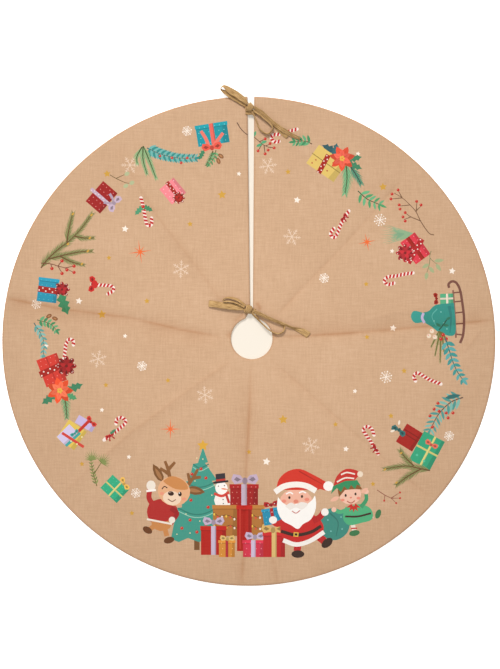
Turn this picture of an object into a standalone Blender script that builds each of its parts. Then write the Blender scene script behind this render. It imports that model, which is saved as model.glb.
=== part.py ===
"""A round tree skirt laid flat: a printed cloth cover on a plain lining, sewn together round the edges, open from
the rim to the trunk hole along a slit, and closed across that slit by two bows of flat tape.
The front half turns up and over the rear half about the fold line. Metres, +Z up, the slit towards +Y."""

import bmesh
import bpy
import math
from mathutils import Vector

# The cloth
SKIRT_RADIUS = 0.450
LINING_THICKNESS = 0.0008
COVER_THICKNESS = 0.0010
LAYER_ROOM = 0.0010  # between the lining and the cover, where the seam's thread runs
CLEARANCE = 0.0003  # between pieces that touch
ARC_STEP = math.radians(3.0)

# The trunk hole and the slit that leads to it
HOLE_RADIUS = 0.038
HOLE_X = 0.0065
HOLE_Y = 0.0045
SLIT_X_RIM = 0.0048
SLIT_X_HOLE = 0.0062
SLIT_WIDTH_RIM = 0.0124
SLIT_WIDTH_HOLE = 0.0048
NECK_WIDTH = 0.024  # where the slit opens into the hole
NECK_LENGTH = 0.026  # from the hole's rim to where the slit has its plain width
NECK_STEPS = 6

# The line that the skirt folds on
FOLD_Y = -0.018

# The seam that joins the layers
THREAD_DIAMETER = 0.0004
SEAM_INSET = 0.0025  # from the cloth's edge to the thread

# The ties
TIE_DIAMETER = 0.0030
TIE_POINT_SPACING = 0.0075
LEAD_INSET = 0.0022  # from the slit's edge to the middle of a lead's cut end
LEAD_SPREAD = 0.0022  # from the slit's middle to where a lead meets its knot
LEAD_TUCK = 0.0002  # how far a lead's end reaches in under its knot's side
KNOT_RADIUS = 0.0070
KNOT_HEIGHT = 0.0090
KNOT_ROOM = 0.0007  # from a knot's side to the middle of a cut end that meets it
OUTER_KNOT_FROM_RIM = 0.0233
OUTER_KNOT_X = 0.0033
INNER_KNOT_FROM_HOLE = 0.0157
INNER_KNOT_X = 0.0006
OUTER_LEADS_FROM_RIM = 0.0318
INNER_LEADS_FROM_HOLE = 0.0060

# The bar tacks that hold each tie in the slit's edge
TACK_LENGTH = 0.0080
TACK_WIDTH = 0.0018
TACK_HEIGHT = 0.0006
TACK_INSET = 0.0035

COVER_BOTTOM = LINING_THICKNESS + LAYER_ROOM
CLOTH_TOP = COVER_BOTTOM + COVER_THICKNESS
HOLE_BACK = HOLE_Y + HOLE_RADIUS


def clear_scene():
    for obj in list(bpy.data.objects):
        bpy.data.objects.remove(obj, do_unlink=True)


def make_collection(name):
    collection = bpy.data.collections.new(name)
    bpy.context.scene.collection.children.link(collection)
    return collection


def make_material(name, colour, roughness):
    material = bpy.data.materials.new(name)
    material.use_nodes = True
    shader = material.node_tree.nodes["Principled BSDF"]
    shader.inputs["Base Color"].default_value = (*colour, 1.0)
    shader.inputs["Roughness"].default_value = roughness
    shader.inputs["Metallic"].default_value = 0.0
    return material


def add_object(name, data, material, collection):
    data.materials.append(material)
    obj = bpy.data.objects.new(name, data)
    collection.objects.link(obj)
    return obj


# The cloth's outline. Every piece below takes its edges from these.


def slit_centre(y):
    """The slit's middle at y: it leans a little from the hole to the rim."""
    share = (y - HOLE_BACK) / (SKIRT_RADIUS - HOLE_BACK)
    return SLIT_X_HOLE + (SLIT_X_RIM - SLIT_X_HOLE) * share


def slit_half_width(y):
    """Half the slit's width at y: wide at the neck, plain after it, and opening slowly towards the rim."""
    neck_start = HOLE_Y + math.sqrt(HOLE_RADIUS**2 - (NECK_WIDTH / 2) ** 2)
    share = (y - HOLE_BACK) / (SKIRT_RADIUS - HOLE_BACK)
    plain = (SLIT_WIDTH_HOLE + (SLIT_WIDTH_RIM - SLIT_WIDTH_HOLE) * share) / 2
    into_neck = max(0.0, 1 - (y - neck_start) / NECK_LENGTH)
    return plain + (NECK_WIDTH / 2 - plain) * into_neck**2


def slit_edge(side, inset):
    """The slit's edge from the hole to the rim, moved into the cloth by inset. side is -1 for the left, 1 for the right."""
    radius = SKIRT_RADIUS - inset
    start = HOLE_Y + math.sqrt((HOLE_RADIUS + inset) ** 2 - (NECK_WIDTH / 2 + inset) ** 2)
    rows = [start + NECK_LENGTH * step / NECK_STEPS for step in range(NECK_STEPS + 1)]
    rim_x = slit_centre(radius) + side * (slit_half_width(radius) + inset)
    rows.append(math.sqrt(radius**2 - rim_x**2))
    return [(slit_centre(y) + side * (slit_half_width(y) + inset), y) for y in rows]


def arc(centre, radius, start, end):
    """Points on a circle from one angle to another, both ends included."""
    steps = max(2, math.ceil(abs(end - start) / ARC_STEP))
    angles = [start + (end - start) * step / steps for step in range(steps + 1)]
    return [(centre[0] + radius * math.cos(a), centre[1] + radius * math.sin(a)) for a in angles]


def rear_outline(side, inset, fold_gap):
    """A rear quarter's edge from the fold line round the rim, down the slit and round the hole to the fold line."""
    fold = FOLD_Y + fold_gap
    radius = SKIRT_RADIUS - inset
    hole = HOLE_RADIUS + inset
    edge = slit_edge(side, inset)
    rim_start = math.asin(fold / radius)
    rim_end = math.atan2(edge[-1][1], side * edge[-1][0])
    rim = [(side * x, y) for x, y in arc((0, 0), radius, rim_start, rim_end)]
    hole_start = math.atan2(edge[0][1] - HOLE_Y, side * (edge[0][0] - HOLE_X))
    hole_end = math.asin((fold - HOLE_Y) / hole)
    inner = [(HOLE_X + side * x, HOLE_Y + y) for x, y in arc((0, 0), hole, hole_start, hole_end)]
    return rim[:-1] + edge[::-1] + inner[1:]


def front_rim(inset, fold_gap):
    radius = SKIRT_RADIUS - inset
    start = math.asin((FOLD_Y - fold_gap) / radius)
    return arc((0, 0), radius, start, -math.pi - start)


def front_hole(inset, fold_gap):
    radius = HOLE_RADIUS + inset
    start = math.asin((FOLD_Y - fold_gap - HOLE_Y) / radius)
    return arc((HOLE_X, HOLE_Y), radius, -math.pi - start, start)


def hinge_empty(collection):
    """Carries the front half. It stands on the joint's axis, on top of the cloth at the fold line."""
    empty = bpy.data.objects.new("fold_axis", None)
    empty.location = (0, FOLD_Y, CLOTH_TOP)
    collection.objects.link(empty)
    return empty


def put_on_hinge(obj, empty):
    obj.parent = empty
    obj.location -= empty.location


# The cloth's pieces


def add_sheet(name, outline, bottom, thickness, material, collection):
    """A flat cloth piece: its outline as a filled curve, extruded by half its thickness each way."""
    curve = bpy.data.curves.new(name, "CURVE")
    curve.dimensions = "2D"
    curve.fill_mode = "BOTH"
    curve.extrude = thickness / 2
    spline = curve.splines.new("POLY")
    spline.points.add(len(outline) - 1)
    for point, (x, y) in zip(spline.points, outline):
        point.co = (x, y, 0, 1)
    spline.use_cyclic_u = True
    obj = add_object(name, curve, material, collection)
    obj.location.z = bottom + thickness / 2
    return obj


def add_layer(name, bottom, thickness, material, collection, empty):
    """One whole layer of cloth: two rear quarters, which meet only at the fold, and the front half."""
    for word, side in (("left", -1), ("right", 1)):
        outline = rear_outline(side, 0, CLEARANCE / 2)
        add_sheet(f"{name}_rear_{word}", outline, bottom, thickness, material, collection)
    front = front_rim(0, CLEARANCE / 2) + front_hole(0, CLEARANCE / 2)
    put_on_hinge(add_sheet(f"{name}_front", front, bottom, thickness, material, collection), empty)


# Thread and tie, both tubes


def add_tube(name, points, diameter, material, collection):
    curve = bpy.data.curves.new(name, "CURVE")
    curve.dimensions = "3D"
    curve.bevel_depth = diameter / 2
    curve.bevel_resolution = 1 if diameter == THREAD_DIAMETER else 2
    curve.use_fill_caps = True
    spline = curve.splines.new("POLY")
    spline.points.add(len(points) - 1)
    for point, place in zip(spline.points, points):
        point.co = (*place, 1)
    return add_object(name, curve, material, collection)


def add_seam(material, collection, empty):
    """The thread that joins the layers, just inside the turned edge: one run round each rear quarter, and one
    along the front half's rim and one along its part of the hole."""
    height = LINING_THICKNESS + LAYER_ROOM / 2
    for word, side in (("left", -1), ("right", 1)):
        run = [(x, y, height) for x, y in rear_outline(side, SEAM_INSET, CLEARANCE / 2)]
        add_tube(f"seam_thread_rear_{word}", run, THREAD_DIAMETER, material, collection)
    for name, run in (("rim", front_rim), ("hole", front_hole)):
        points = [(x, y, height) for x, y in run(SEAM_INSET, CLEARANCE / 2)]
        tube = add_tube(f"seam_thread_front_{name}", points, THREAD_DIAMETER, material, collection)
        put_on_hinge(tube, empty)


def smooth_route(points, spacing):
    """Points along a smooth curve through the chosen ones, about spacing apart."""
    route = [Vector(p) for p in points]
    ends = [2 * route[0] - route[1], *route, 2 * route[-1] - route[-2]]
    fine = []
    for before, start, end, after in zip(ends, ends[1:], ends[2:], ends[3:]):
        for step in range(12):
            t = step / 12
            fine.append(
                0.5
                * (
                    2 * start
                    + (end - before) * t
                    + (2 * before - 5 * start + 4 * end - after) * t**2
                    + (3 * start - before - 3 * end + after) * t**3
                )
            )
    fine.append(route[-1])
    lengths = [0.0]
    for a, b in zip(fine, fine[1:]):
        lengths.append(lengths[-1] + (b - a).length)
    count = max(2, round(lengths[-1] / spacing))
    kept = []
    index = 0
    for step in range(count + 1):
        goal = lengths[-1] * step / count
        while index < len(fine) - 2 and lengths[index + 1] < goal:
            index += 1
        share = (goal - lengths[index]) / max(lengths[index + 1] - lengths[index], 1e-9)
        kept.append(fine[index].lerp(fine[index + 1], share))
    return kept


# Each stretch of tie, as points in millimetres from its knot's middle in plan and from the cloth's top in height.
OUTER_TIES = {
    "outer_left_loop": [
        (-7.2, 2.8, 3.0),
        (-13.2, 9.0, 2.8),
        (-26.3, 18.4, 2.8),
        (-39.0, 25.6, 3.2),
        (-47.5, 29.6, 4.2),
        (-53.2, 33.2, 5.4),
        (-52.0, 38.0, 6.2),
        (-46.5, 38.4, 6.4),
        (-36.5, 31.0, 6.4),
        (-23.5, 23.0, 6.4),
        (-10.6, 13.2, 6.0),
        (-4.2, 6.4, 5.6),
    ],
    "outer_right_loop": [
        (6.3, -4.4, 4.5),
        (17.0, -11.5, 5.0),
        (27.5, -20.2, 5.0),
        (36.6, -28.5, 4.7),
        (41.4, -35.6, 4.7),
        (39.6, -42.0, 4.7),
        (32.2, -47.6, 4.7),
        (24.6, -45.2, 4.7),
        (17.3, -38.0, 4.7),
        (13.0, -28.5, 4.7),
        (9.6, -18.6, 5.0),
        (3.3, -7.3, 5.4),
    ],
    "outer_long_tail": [
        (7.7, 0.9, 6.6),
        (14.4, -3.7, 6.6),
        (27.5, -13.8, 6.6),
        (40.6, -26.2, 6.4),
        (51.0, -34.6, 6.2),
        (61.5, -41.6, 6.0),
        (77.2, -50.1, 3.4),
        (91.6, -56.9, 2.3),
    ],
    "outer_short_tail": [
        (7.6, 0.2, 2.0),
        (14.4, -4.2, 2.0),
        (27.5, -14.6, 2.0),
        (40.6, -27.0, 2.0),
        (50.5, -36.2, 2.0),
        (60.5, -45.2, 2.0),
        (70.0, -52.0, 2.0),
    ],
}
INNER_TIES = {
    "inner_left_tail": [
        (-7.6, 1.1, 4.2),
        (-25.6, 4.0, 4.8),
        (-45.6, 6.6, 5.0),
        (-60.6, 8.8, 4.2),
        (-73.2, 10.4, 3.0),
    ],
    "inner_left_loop": [
        (-5.2, 5.7, 4.6),
        (-14.0, 13.0, 5.2),
        (-24.6, 18.8, 5.2),
        (-36.6, 21.0, 5.2),
        (-45.6, 18.6, 5.2),
        (-46.2, 14.0, 5.2),
        (-36.6, 14.4, 5.6),
        (-26.6, 12.4, 6.2),
        (-15.6, 8.3, 6.8),
        (-7.3, 2.9, 6.8),
    ],
    "inner_right_loop": [
        (5.2, -5.7, 3.2),
        (13.9, -15.4, 3.0),
        (25.4, -27.4, 3.0),
        (35.4, -36.6, 3.0),
        (44.4, -42.4, 3.0),
        (54.6, -45.2, 3.0),
        (63.4, -41.2, 2.6),
        (65.6, -35.2, 2.0),
        (63.6, -29.4, 2.0),
        (57.4, -25.0, 2.0),
        (44.4, -19.4, 2.0),
        (29.4, -12.6, 2.2),
        (16.4, -6.2, 2.8),
        (7.5, -1.6, 3.2),
    ],
    "inner_right_tail": [
        (7.0, -3.3, 6.2),
        (19.4, -8.9, 6.4),
        (39.4, -18.0, 6.4),
        (54.4, -23.7, 6.4),
        (65.4, -28.2, 6.2),
        (77.4, -32.7, 4.2),
        (89.4, -37.2, 2.2),
        (100.4, -41.7, 2.1),
        (110.4, -48.4, 2.1),
    ],
}


def knot_places():
    """The middle of each knot in plan: they keep their distance from the rim and from the hole."""
    outer = Vector((OUTER_KNOT_X, SKIRT_RADIUS - OUTER_KNOT_FROM_RIM, 0))
    inner = Vector((INNER_KNOT_X, HOLE_BACK + INNER_KNOT_FROM_HOLE, 0))
    return outer, inner


def add_knot(name, place, material, collection):
    """A bow's knot: both tapes drawn into one round lump that bridges the slit."""
    mesh = bpy.data.meshes.new(name)
    form = bmesh.new()
    bmesh.ops.create_uvsphere(form, u_segments=20, v_segments=12, radius=KNOT_RADIUS)
    squeeze = Vector((1, 1, KNOT_HEIGHT / 2 / KNOT_RADIUS))
    bmesh.ops.scale(form, vec=squeeze, verts=form.verts)
    form.to_mesh(mesh)
    form.free()
    mesh.shade_smooth()
    obj = add_object(name, mesh, material, collection)
    obj.location = place + Vector((0, 0, CLOTH_TOP + CLEARANCE + KNOT_HEIGHT / 2))
    return obj


def at_knot(point):
    """The same way out from the knot's middle, and just clear of the knot's side."""
    plan = Vector((point.x, point.y, 0))
    return plan.normalized() * (KNOT_RADIUS + KNOT_ROOM) + Vector((0, 0, point.z))


def add_stretches(ties, knot, material, collection):
    """A tail runs from its knot to a cut end, and a loop from its knot and back to it."""
    base = knot + Vector((0, 0, CLOTH_TOP))
    for name, chosen in ties.items():
        points = [Vector(p) / 1000 for p in chosen]
        points[0] = at_knot(points[0])
        if name.endswith("loop"):
            points[-1] = at_knot(points[-1])
        route = smooth_route([base + p for p in points], TIE_POINT_SPACING)
        add_tube(name, route, TIE_DIAMETER, material, collection)


def add_leads(word, knot, row, material, collection):
    """The two short ends that run from the slit's edges, where they are caught in the seam, up to the knot."""
    for side_word, side in (("left", -1), ("right", 1)):
        edge = slit_centre(row) + side * slit_half_width(row)
        start = Vector((edge - side * LEAD_INSET, row, TIE_DIAMETER / 2 + CLEARANCE))
        target = Vector((slit_centre(row) + side * LEAD_SPREAD, knot.y, CLOTH_TOP + KNOT_HEIGHT / 3))
        towards = target - start
        reach = towards.length - KNOT_RADIUS + LEAD_TUCK
        end = start + towards.normalized() * reach
        name = f"{word}_{side_word}_lead"
        add_tube(name, [start, start.lerp(end, 0.5), end], TIE_DIAMETER, material, collection)


def add_tacks(word, row, material, collection):
    """The dense stitches that lock each tie into the slit's edge, through both layers."""
    for side_word, side in (("left", -1), ("right", 1)):
        name = f"{word}_{side_word}_tack"
        mesh = bpy.data.meshes.new(name)
        form = bmesh.new()
        bmesh.ops.create_cube(form, size=1)
        bmesh.ops.scale(form, vec=(TACK_WIDTH, TACK_LENGTH, TACK_HEIGHT), verts=form.verts)
        form.to_mesh(mesh)
        form.free()
        obj = add_object(name, mesh, material, collection)
        edge = slit_centre(row) + side * slit_half_width(row)
        height = CLOTH_TOP + CLEARANCE + TACK_HEIGHT / 2
        obj.location = (edge + side * TACK_INSET, row, height)


def build():
    clear_scene()
    collection = make_collection("tree_skirt")
    cover = make_material("printed_cover", (0.69, 0.43, 0.28), 0.9)
    lining = make_material("plain_lining", (0.84, 0.76, 0.64), 0.92)
    thread = make_material("sewing_thread", (0.62, 0.42, 0.27), 0.7)
    tape = make_material("jute_tape", (0.43, 0.26, 0.11), 0.85)
    empty = hinge_empty(collection)
    add_layer("lining", 0, LINING_THICKNESS, lining, collection, empty)
    add_layer("cover", COVER_BOTTOM, COVER_THICKNESS, cover, collection, empty)
    add_seam(thread, collection, empty)
    outer, inner = knot_places()
    outer_row = SKIRT_RADIUS - OUTER_LEADS_FROM_RIM
    inner_row = HOLE_BACK + INNER_LEADS_FROM_HOLE
    bows = (("outer", outer, outer_row, OUTER_TIES), ("inner", inner, inner_row, INNER_TIES))
    for word, knot, row, ties in bows:
        add_knot(f"{word}_knot", knot, tape, collection)
        add_stretches(ties, knot, tape, collection)
        add_leads(word, knot, row, tape, collection)
        add_tacks(word, row, thread, collection)


build()
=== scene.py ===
import bmesh
import bpy
import math
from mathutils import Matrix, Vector, noise
from mathutils.geometry import delaunay_2d_cdt


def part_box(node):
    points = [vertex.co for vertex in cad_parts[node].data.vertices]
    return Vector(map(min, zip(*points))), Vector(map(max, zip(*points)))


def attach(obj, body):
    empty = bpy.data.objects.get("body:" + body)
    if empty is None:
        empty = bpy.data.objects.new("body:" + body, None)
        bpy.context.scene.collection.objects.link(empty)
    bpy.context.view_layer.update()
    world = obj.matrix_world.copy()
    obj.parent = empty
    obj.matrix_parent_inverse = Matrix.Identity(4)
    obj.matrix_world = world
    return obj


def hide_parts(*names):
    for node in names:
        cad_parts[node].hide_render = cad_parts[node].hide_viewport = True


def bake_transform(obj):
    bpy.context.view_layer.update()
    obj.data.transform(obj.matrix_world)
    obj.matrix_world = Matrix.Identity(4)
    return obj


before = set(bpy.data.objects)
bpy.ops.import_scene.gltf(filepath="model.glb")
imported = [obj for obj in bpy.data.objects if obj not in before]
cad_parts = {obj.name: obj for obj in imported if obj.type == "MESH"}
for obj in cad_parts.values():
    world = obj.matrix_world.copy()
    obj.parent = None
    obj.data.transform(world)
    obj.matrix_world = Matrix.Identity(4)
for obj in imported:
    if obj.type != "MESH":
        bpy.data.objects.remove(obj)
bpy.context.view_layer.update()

# The camera stands straight above the skirt as it lies flat, with the slit towards the top of the view.
# A long lens keeps the rim and the bows free of perspective.
VIEW_HEIGHT = 1.2256
VIEW_MIDDLE = (0.0033, 0.0117)
LENS = 100.0
camera_data = bpy.data.cameras.new("camera")
camera_data.lens = LENS
camera_data.sensor_width = 36.0
camera = bpy.data.objects.new("camera", camera_data)
cloth_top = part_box("cover_front")[1][2]
camera.location = (*VIEW_MIDDLE, cloth_top + VIEW_HEIGHT * LENS / camera_data.sensor_width)
bpy.context.scene.collection.objects.link(camera)
bpy.context.scene.camera = camera
bpy.context.scene.view_settings.view_transform = "Standard"

# How the cloth lies: a round with a hole in its middle and a slit from the hole to the rim, in millimetres
# here.
SKIRT_RADIUS = 450.0
HOLE_RADIUS = 38.0
HOLE_MIDDLE = (6.5, 4.5)
HOLE_BACK = 42.5
SLIT_X = (6.2, 4.8)
SLIT_WIDTH = (4.8, 12.4)
NECK_WIDTH = 24.0
NECK_LENGTH = 26.0
KNOT_PLACES = ((3.3, 426.7), (0.6, 58.2))


def slit_shape(y):
    """The slit's middle and half its width at y, in millimetres."""
    share = (y - HOLE_BACK) / (SKIRT_RADIUS - HOLE_BACK)
    middle = SLIT_X[0] + (SLIT_X[1] - SLIT_X[0]) * share
    plain = (SLIT_WIDTH[0] + (SLIT_WIDTH[1] - SLIT_WIDTH[0]) * share) / 2
    neck_start = HOLE_MIDDLE[1] + math.sqrt(HOLE_RADIUS**2 - (NECK_WIDTH / 2) ** 2)
    into_neck = max(0.0, 1 - (y - neck_start) / NECK_LENGTH)
    return middle, plain + (NECK_WIDTH / 2 - plain) * into_neck**2


def rim_radius(angle):
    """The rim's distance from the skirt's middle. The laid cloth is drawn out a little to its sides."""
    return SKIRT_RADIUS + 1.8 * math.cos(2 * angle) + math.cos(angle) - 0.6 * math.sin(angle)


# The fold lines that packing has creased into the cloth, from the hole out, then the short ripples at the
# rim. Each has its depth in millimetres, a valley if negative, and how far it reaches to its left and its
# right. Along each fold the cloth's colour is also darkened with painted shade.
CREASES = (
    ([(-40.0, 6.0), (-122.0, 20.0), (-214.0, 42.0), (-340.0, 58.0), (-449.0, 79.0)], -3.0, 14, 6),
    ([(42.0, 7.0), (113.0, 10.0), (180.0, 14.0), (278.0, 22.0), (448.0, 38.0)], -2.6, 12, 4),
    ([(5.1, -36.0), (2.0, -130.0), (-4.0, -231.0), (-8.0, -340.0), (-11.4, -447.0)], -2.4, 5, 9),
    ([(-22.0, -30.0), (-109.0, -90.0), (-218.4, -170.6), (-339.3, -278.6)], 1.5, 8, 5),
    ([(32.0, -26.0), (112.0, -96.0), (195.7, -170.6), (331.2, -286.0)], -1.3, 6, 8),
    ([(-22.0, 34.0), (-84.0, 122.0), (-163.4, 223.3), (-240.0, 350.0)], 1.5, 6, 5),
    ([(36.0, 28.0), (102.0, 100.0), (175.5, 175.7), (278.1, 291.1)], -1.3, 5, 7),
    ([(44.0, -393.0), (50.0, -420.0), (54.0, -447.0)], -1.8, 9, 6),
    ([(-76.0, -392.0), (-68.0, -412.0)], -1.2, 5, 5),
    ([(392.0, -24.0), (426.0, 18.0)], 1.2, 6, 5),
    ([(-405.0, 52.0), (-330.0, 38.0), (-250.0, 34.0)], -1.0, 8, 8),
    ([(200.0, 34.0), (270.0, 52.0), (330.0, 60.0)], 0.9, 9, 7),
    ([(13.0, 71.0), (19.0, 66.0), (22.5, 57.0)], 2.4, 3, 5),
    ([(-7.0, 52.0), (-14.0, 44.0), (-24.0, 36.0)], -2.0, 3, 5),
)
FARTHEST_REACH = 60
# How narrow the sharp line of painted shade along a fold is, and the depth at which a fold gets its full
# painted shade, in millimetres.
CREASE_SHADE_LINE = 3.2
FULL_CREASE_SHADE_DEPTH = 2.6


def off_crease(line, x, y):
    """How far a point is to the left of a fold line, and how far along it, as a share of its length."""
    best = None
    run = 0.0
    for a, b in zip(line, line[1:]):
        span = math.dist(a, b)
        share = ((x - a[0]) * (b[0] - a[0]) + (y - a[1]) * (b[1] - a[1])) / span**2
        share = min(1.0, max(0.0, share))
        away = math.hypot(x - a[0] - share * (b[0] - a[0]), y - a[1] - share * (b[1] - a[1]))
        turned = (b[0] - a[0]) * (y - a[1]) - (b[1] - a[1]) * (x - a[0])
        if best is None or away < best[0]:
            best = (away, math.copysign(away, turned), run + share * span)
        run += span
    return best[1], best[2] / run


def creases_at(x, y):
    """The folds' height at a point, and how much painted shade darkens the cloth's colour there, from 0 to 1.
    """
    height = 0.0
    crease_shade = 0.0
    for line, depth, left, right in CREASES:
        offset, share = off_crease(line, x, y)
        if abs(offset) > FARTHEST_REACH:
            continue
        fade = min(1.0, share * 7, (1 - share) * 9 + 0.35) * (
            0.72 + 0.5 * noise.noise(Vector((share * 6, depth, 0)))
        )
        reach = left if offset > 0 else right
        height += depth * fade * math.exp(-abs(offset) / reach)
        # Painted shade along a fold: a sharp dark line on it and a broader, fainter band beside it.
        sharp = math.exp(-((offset / CREASE_SHADE_LINE) ** 2))
        broad = 0.5 * math.exp(-abs(offset) / (reach * 1.4))
        crease_shade = max(crease_shade, fade * max(sharp, broad) * min(1.0, (depth / FULL_CREASE_SHADE_DEPTH) ** 2))
    return height, crease_shade


def cloth_lift(x, y):
    """How far the laid cloth stands above the flat at a point, in millimetres: its folds and a slow
    waviness."""
    wave = 0.8 * noise.noise(
        Vector((x / 130, y / 110, 3.1)),
    ) + 0.3 * noise.noise(Vector((x / 42, y / 36, 8.4)))
    near_rim = min(1.0, max(0.0, (SKIRT_RADIUS - math.hypot(x, y)) / 70))
    lift = max(0.0, (1.2 + wave) * (0.25 + 0.75 * near_rim) + creases_at(x, y)[0] * (0.5 + 0.5 * near_rim))
    near_knot = min(math.hypot(x - knot_x, y - knot_y) for knot_x, knot_y in KNOT_PLACES)
    return lift * min(1.0, 0.35 + near_knot / 90)


# The ties: lengths of flat jute tape, 12 mm wide, caught in the slit's seam and tied in pairs into two bows.
# The tape is limp: it creases along its length, turns on its edge round a loop, and its ends are left bare.
TAPE_WIDTH = 0.012
TAPE_THICKNESS = 0.0009
TAPE_THREAD = 0.0011
KNOT_ROOM = 0.0077
OUTER_KNOT = (0.0033, 0.4267)
INNER_KNOT = (0.0006, 0.0582)


def linear(colour):
    """A colour written as sRGB hex, in linear light."""
    parts = [int(colour[i : i + 2], 16) / 255 for i in (1, 3, 5)]
    return [p / 12.92 if p <= 0.04045 else ((p + 0.055) / 1.055) ** 2.4 for p in parts]


def add_node(tree, kind, settings=None, inputs=None):
    """Adds a node: settings are its properties, and inputs are values, or sockets to link from."""
    node = tree.nodes.new(kind)
    for name, value in (settings or {}).items():
        setattr(node, name, value)
    for name, value in (inputs or {}).items():
        if isinstance(value, bpy.types.NodeSocket):
            tree.links.new(value, node.inputs[name])
        else:
            node.inputs[name].default_value = value
    return node


def calculate(tree, operation, *values):
    """Works on numbers or sockets. MULTIPLY_ADD is the first times the second, plus the third."""
    return add_node(tree, "ShaderNodeMath", {"operation": operation}, dict(enumerate(values)))


def new_material(name, roughness, sheen=0.0):
    material = bpy.data.materials.new(name)
    material.use_nodes = True
    shader = material.node_tree.nodes["Principled BSDF"]
    shader.inputs["Roughness"].default_value = roughness
    shader.inputs["Specular IOR Level"].default_value = 0.15
    shader.inputs["Sheen Weight"].default_value = sheen
    return material, material.node_tree, shader


def set_ramp(node, *stops):
    ramp = node.color_ramp
    while len(ramp.elements) < len(stops):
        ramp.elements.new(1.0)
    for element, (place, colour) in zip(ramp.elements, stops):
        element.position = place
        element.color = (*linear(colour), 1) if isinstance(colour, str) else (colour, colour, colour, 1)


def jute_tape():
    """Jute tape, a loose plain weave of coarse bast yarn: dull, fibrous and uneven, with painted shade
    between its yarns."""
    material, tree, shader = new_material("woven_jute_tape", 0.86, 0.15)
    uv = add_node(tree, "ShaderNodeUVMap", {"uv_map": "tape"})
    size = 1 / TAPE_THREAD
    spread = add_node(
        tree, "ShaderNodeMapping", inputs={"Vector": uv.outputs["UV"], "Scale": (size, size, 1)},
    )
    split = add_node(tree, "ShaderNodeSeparateXYZ", inputs={"Vector": spread.outputs["Vector"]})
    waves = []
    for axis in ("X", "Y"):
        turn = calculate(tree, "MULTIPLY", split.outputs[axis], math.pi)
        waves.append(calculate(tree, "SINE", turn.outputs[0]))
    weave = calculate(tree, "MULTIPLY", waves[0].outputs[0], waves[1].outputs[0])
    streaks = add_node(
        tree, "ShaderNodeMapping", inputs={"Vector": uv.outputs["UV"], "Scale": (90, 1300, 1)}
    )
    fibre = add_node(
        tree, "ShaderNodeTexNoise", inputs={"Vector": streaks.outputs["Vector"], "Scale": 1.0, "Detail": 4.0}
    )
    # The weave darkens the colour a little where the yarns dip: painted shade between the yarns.
    mixed = calculate(tree, "MULTIPLY_ADD", weave.outputs[0], 0.09, fibre.outputs[0])
    ramp = add_node(tree, "ShaderNodeValToRGB", inputs={"Fac": mixed.outputs[0]})
    set_ramp(ramp, (0.30, "#7A5936"), (0.50, "#AC8857"), (0.72, "#CBA877"))
    bump = add_node(
        tree, "ShaderNodeBump", inputs={"Strength": 0.5, "Distance": 0.0004, "Height": mixed.outputs[0]}
    )
    tree.links.new(ramp.outputs["Color"], shader.inputs["Base Color"])
    tree.links.new(bump.outputs["Normal"], shader.inputs["Normal"])
    return material


def smooth_route(points, spacing):
    """Points along a smooth curve through the chosen ones, about spacing apart. A point may hold more than
    a place."""
    route = [Vector(p) for p in points]
    ends = [2 * route[0] - route[1], *route, 2 * route[-1] - route[-2]]
    fine = []
    for before, start, end, after in zip(ends, ends[1:], ends[2:], ends[3:]):
        for step in range(16):
            t = step / 16
            fine.append(
                0.5
                * (
                    2 * start
                    + (end - before) * t
                    + (2 * before - 5 * start + 4 * end - after) * t**2
                    + (3 * start - before - 3 * end + after) * t**3
                )
            )
    fine.append(route[-1])
    lengths = [0.0]
    for a, b in zip(fine, fine[1:]):
        lengths.append(lengths[-1] + (b - a).to_3d().length)
    count = max(2, round(lengths[-1] / spacing))
    kept = []
    index = 0
    for step in range(count + 1):
        goal = lengths[-1] * step / count
        while index < len(fine) - 2 and lengths[index + 1] < goal:
            index += 1
        share = (goal - lengths[index]) / max(lengths[index + 1] - lengths[index], 1e-9)
        kept.append(fine[index].lerp(fine[index + 1], share))
    return kept


def tape_across(route, index):
    """The direction across the tape's face, and the way its face looks. A tilt of 0 lies flat and 90 stands
    on edge."""
    places = [p.to_3d() for p in route]
    along = (places[min(index + 1, len(places) - 1)] - places[max(index - 1, 0)]).normalized()
    level = Vector((0, 0, 1)).cross(along).normalized()
    tilt = math.radians(route[index][3])
    across = math.cos(tilt) * level + math.sin(tilt) * along.cross(level)
    return across, along.cross(across)


def tape_mesh(name, route, material, pinched_ends=(True, False)):
    """A strip of tape along a route of (x, y, z, tilt, width). It is cupped and creased along its length, and
    gathered narrower where it enters a knot."""
    rows = len(route) - 1
    columns = 8
    form = bmesh.new()
    uv = form.loops.layers.uv.new("tape")
    bmesh.ops.create_grid(form, x_segments=rows, y_segments=columns, size=1)
    lengths = [0.0]
    for a, b in zip(route, route[1:]):
        lengths.append(lengths[-1] + (b - a).to_3d().length)
    seed = sum(ord(letter) for letter in name) * 0.37
    places = {}
    for vert in form.verts:
        row = round((vert.co.x + 1) / 2 * rows)
        side = vert.co.y
        from_ends = (lengths[row], lengths[-1] - lengths[row])
        narrow = 1.0
        for gathered, distance in zip(pinched_ends, from_ends):
            if gathered:
                narrow = min(narrow, 0.62 + 0.38 * min(1, distance / 0.014))
        across, face = tape_across(route, row)
        width = route[row][4] * narrow
        gather = 1 - width / TAPE_WIDTH
        ripple = 0.0006 * noise.noise(Vector((lengths[row] * 70, side * 1.6, seed)))
        fold = 0.0030 * gather * math.cos(
            side * 7.5 + 2.5 * noise.noise(Vector((lengths[row] * 40, 0, seed))),
        )
        cup = -0.0008 * side * side * (1 - gather)
        places[vert.index] = (lengths[row], side * TAPE_WIDTH / 2)
        vert.co = route[row].to_3d() + across * side * width / 2 + face * (cup + ripple + fold)
    for face in form.faces:
        face.smooth = True
        for loop in face.loops:
            loop[uv].uv = places[loop.vert.index]
    bmesh.ops.recalc_face_normals(form, faces=form.faces)
    return tape_piece(name, form, material)


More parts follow.
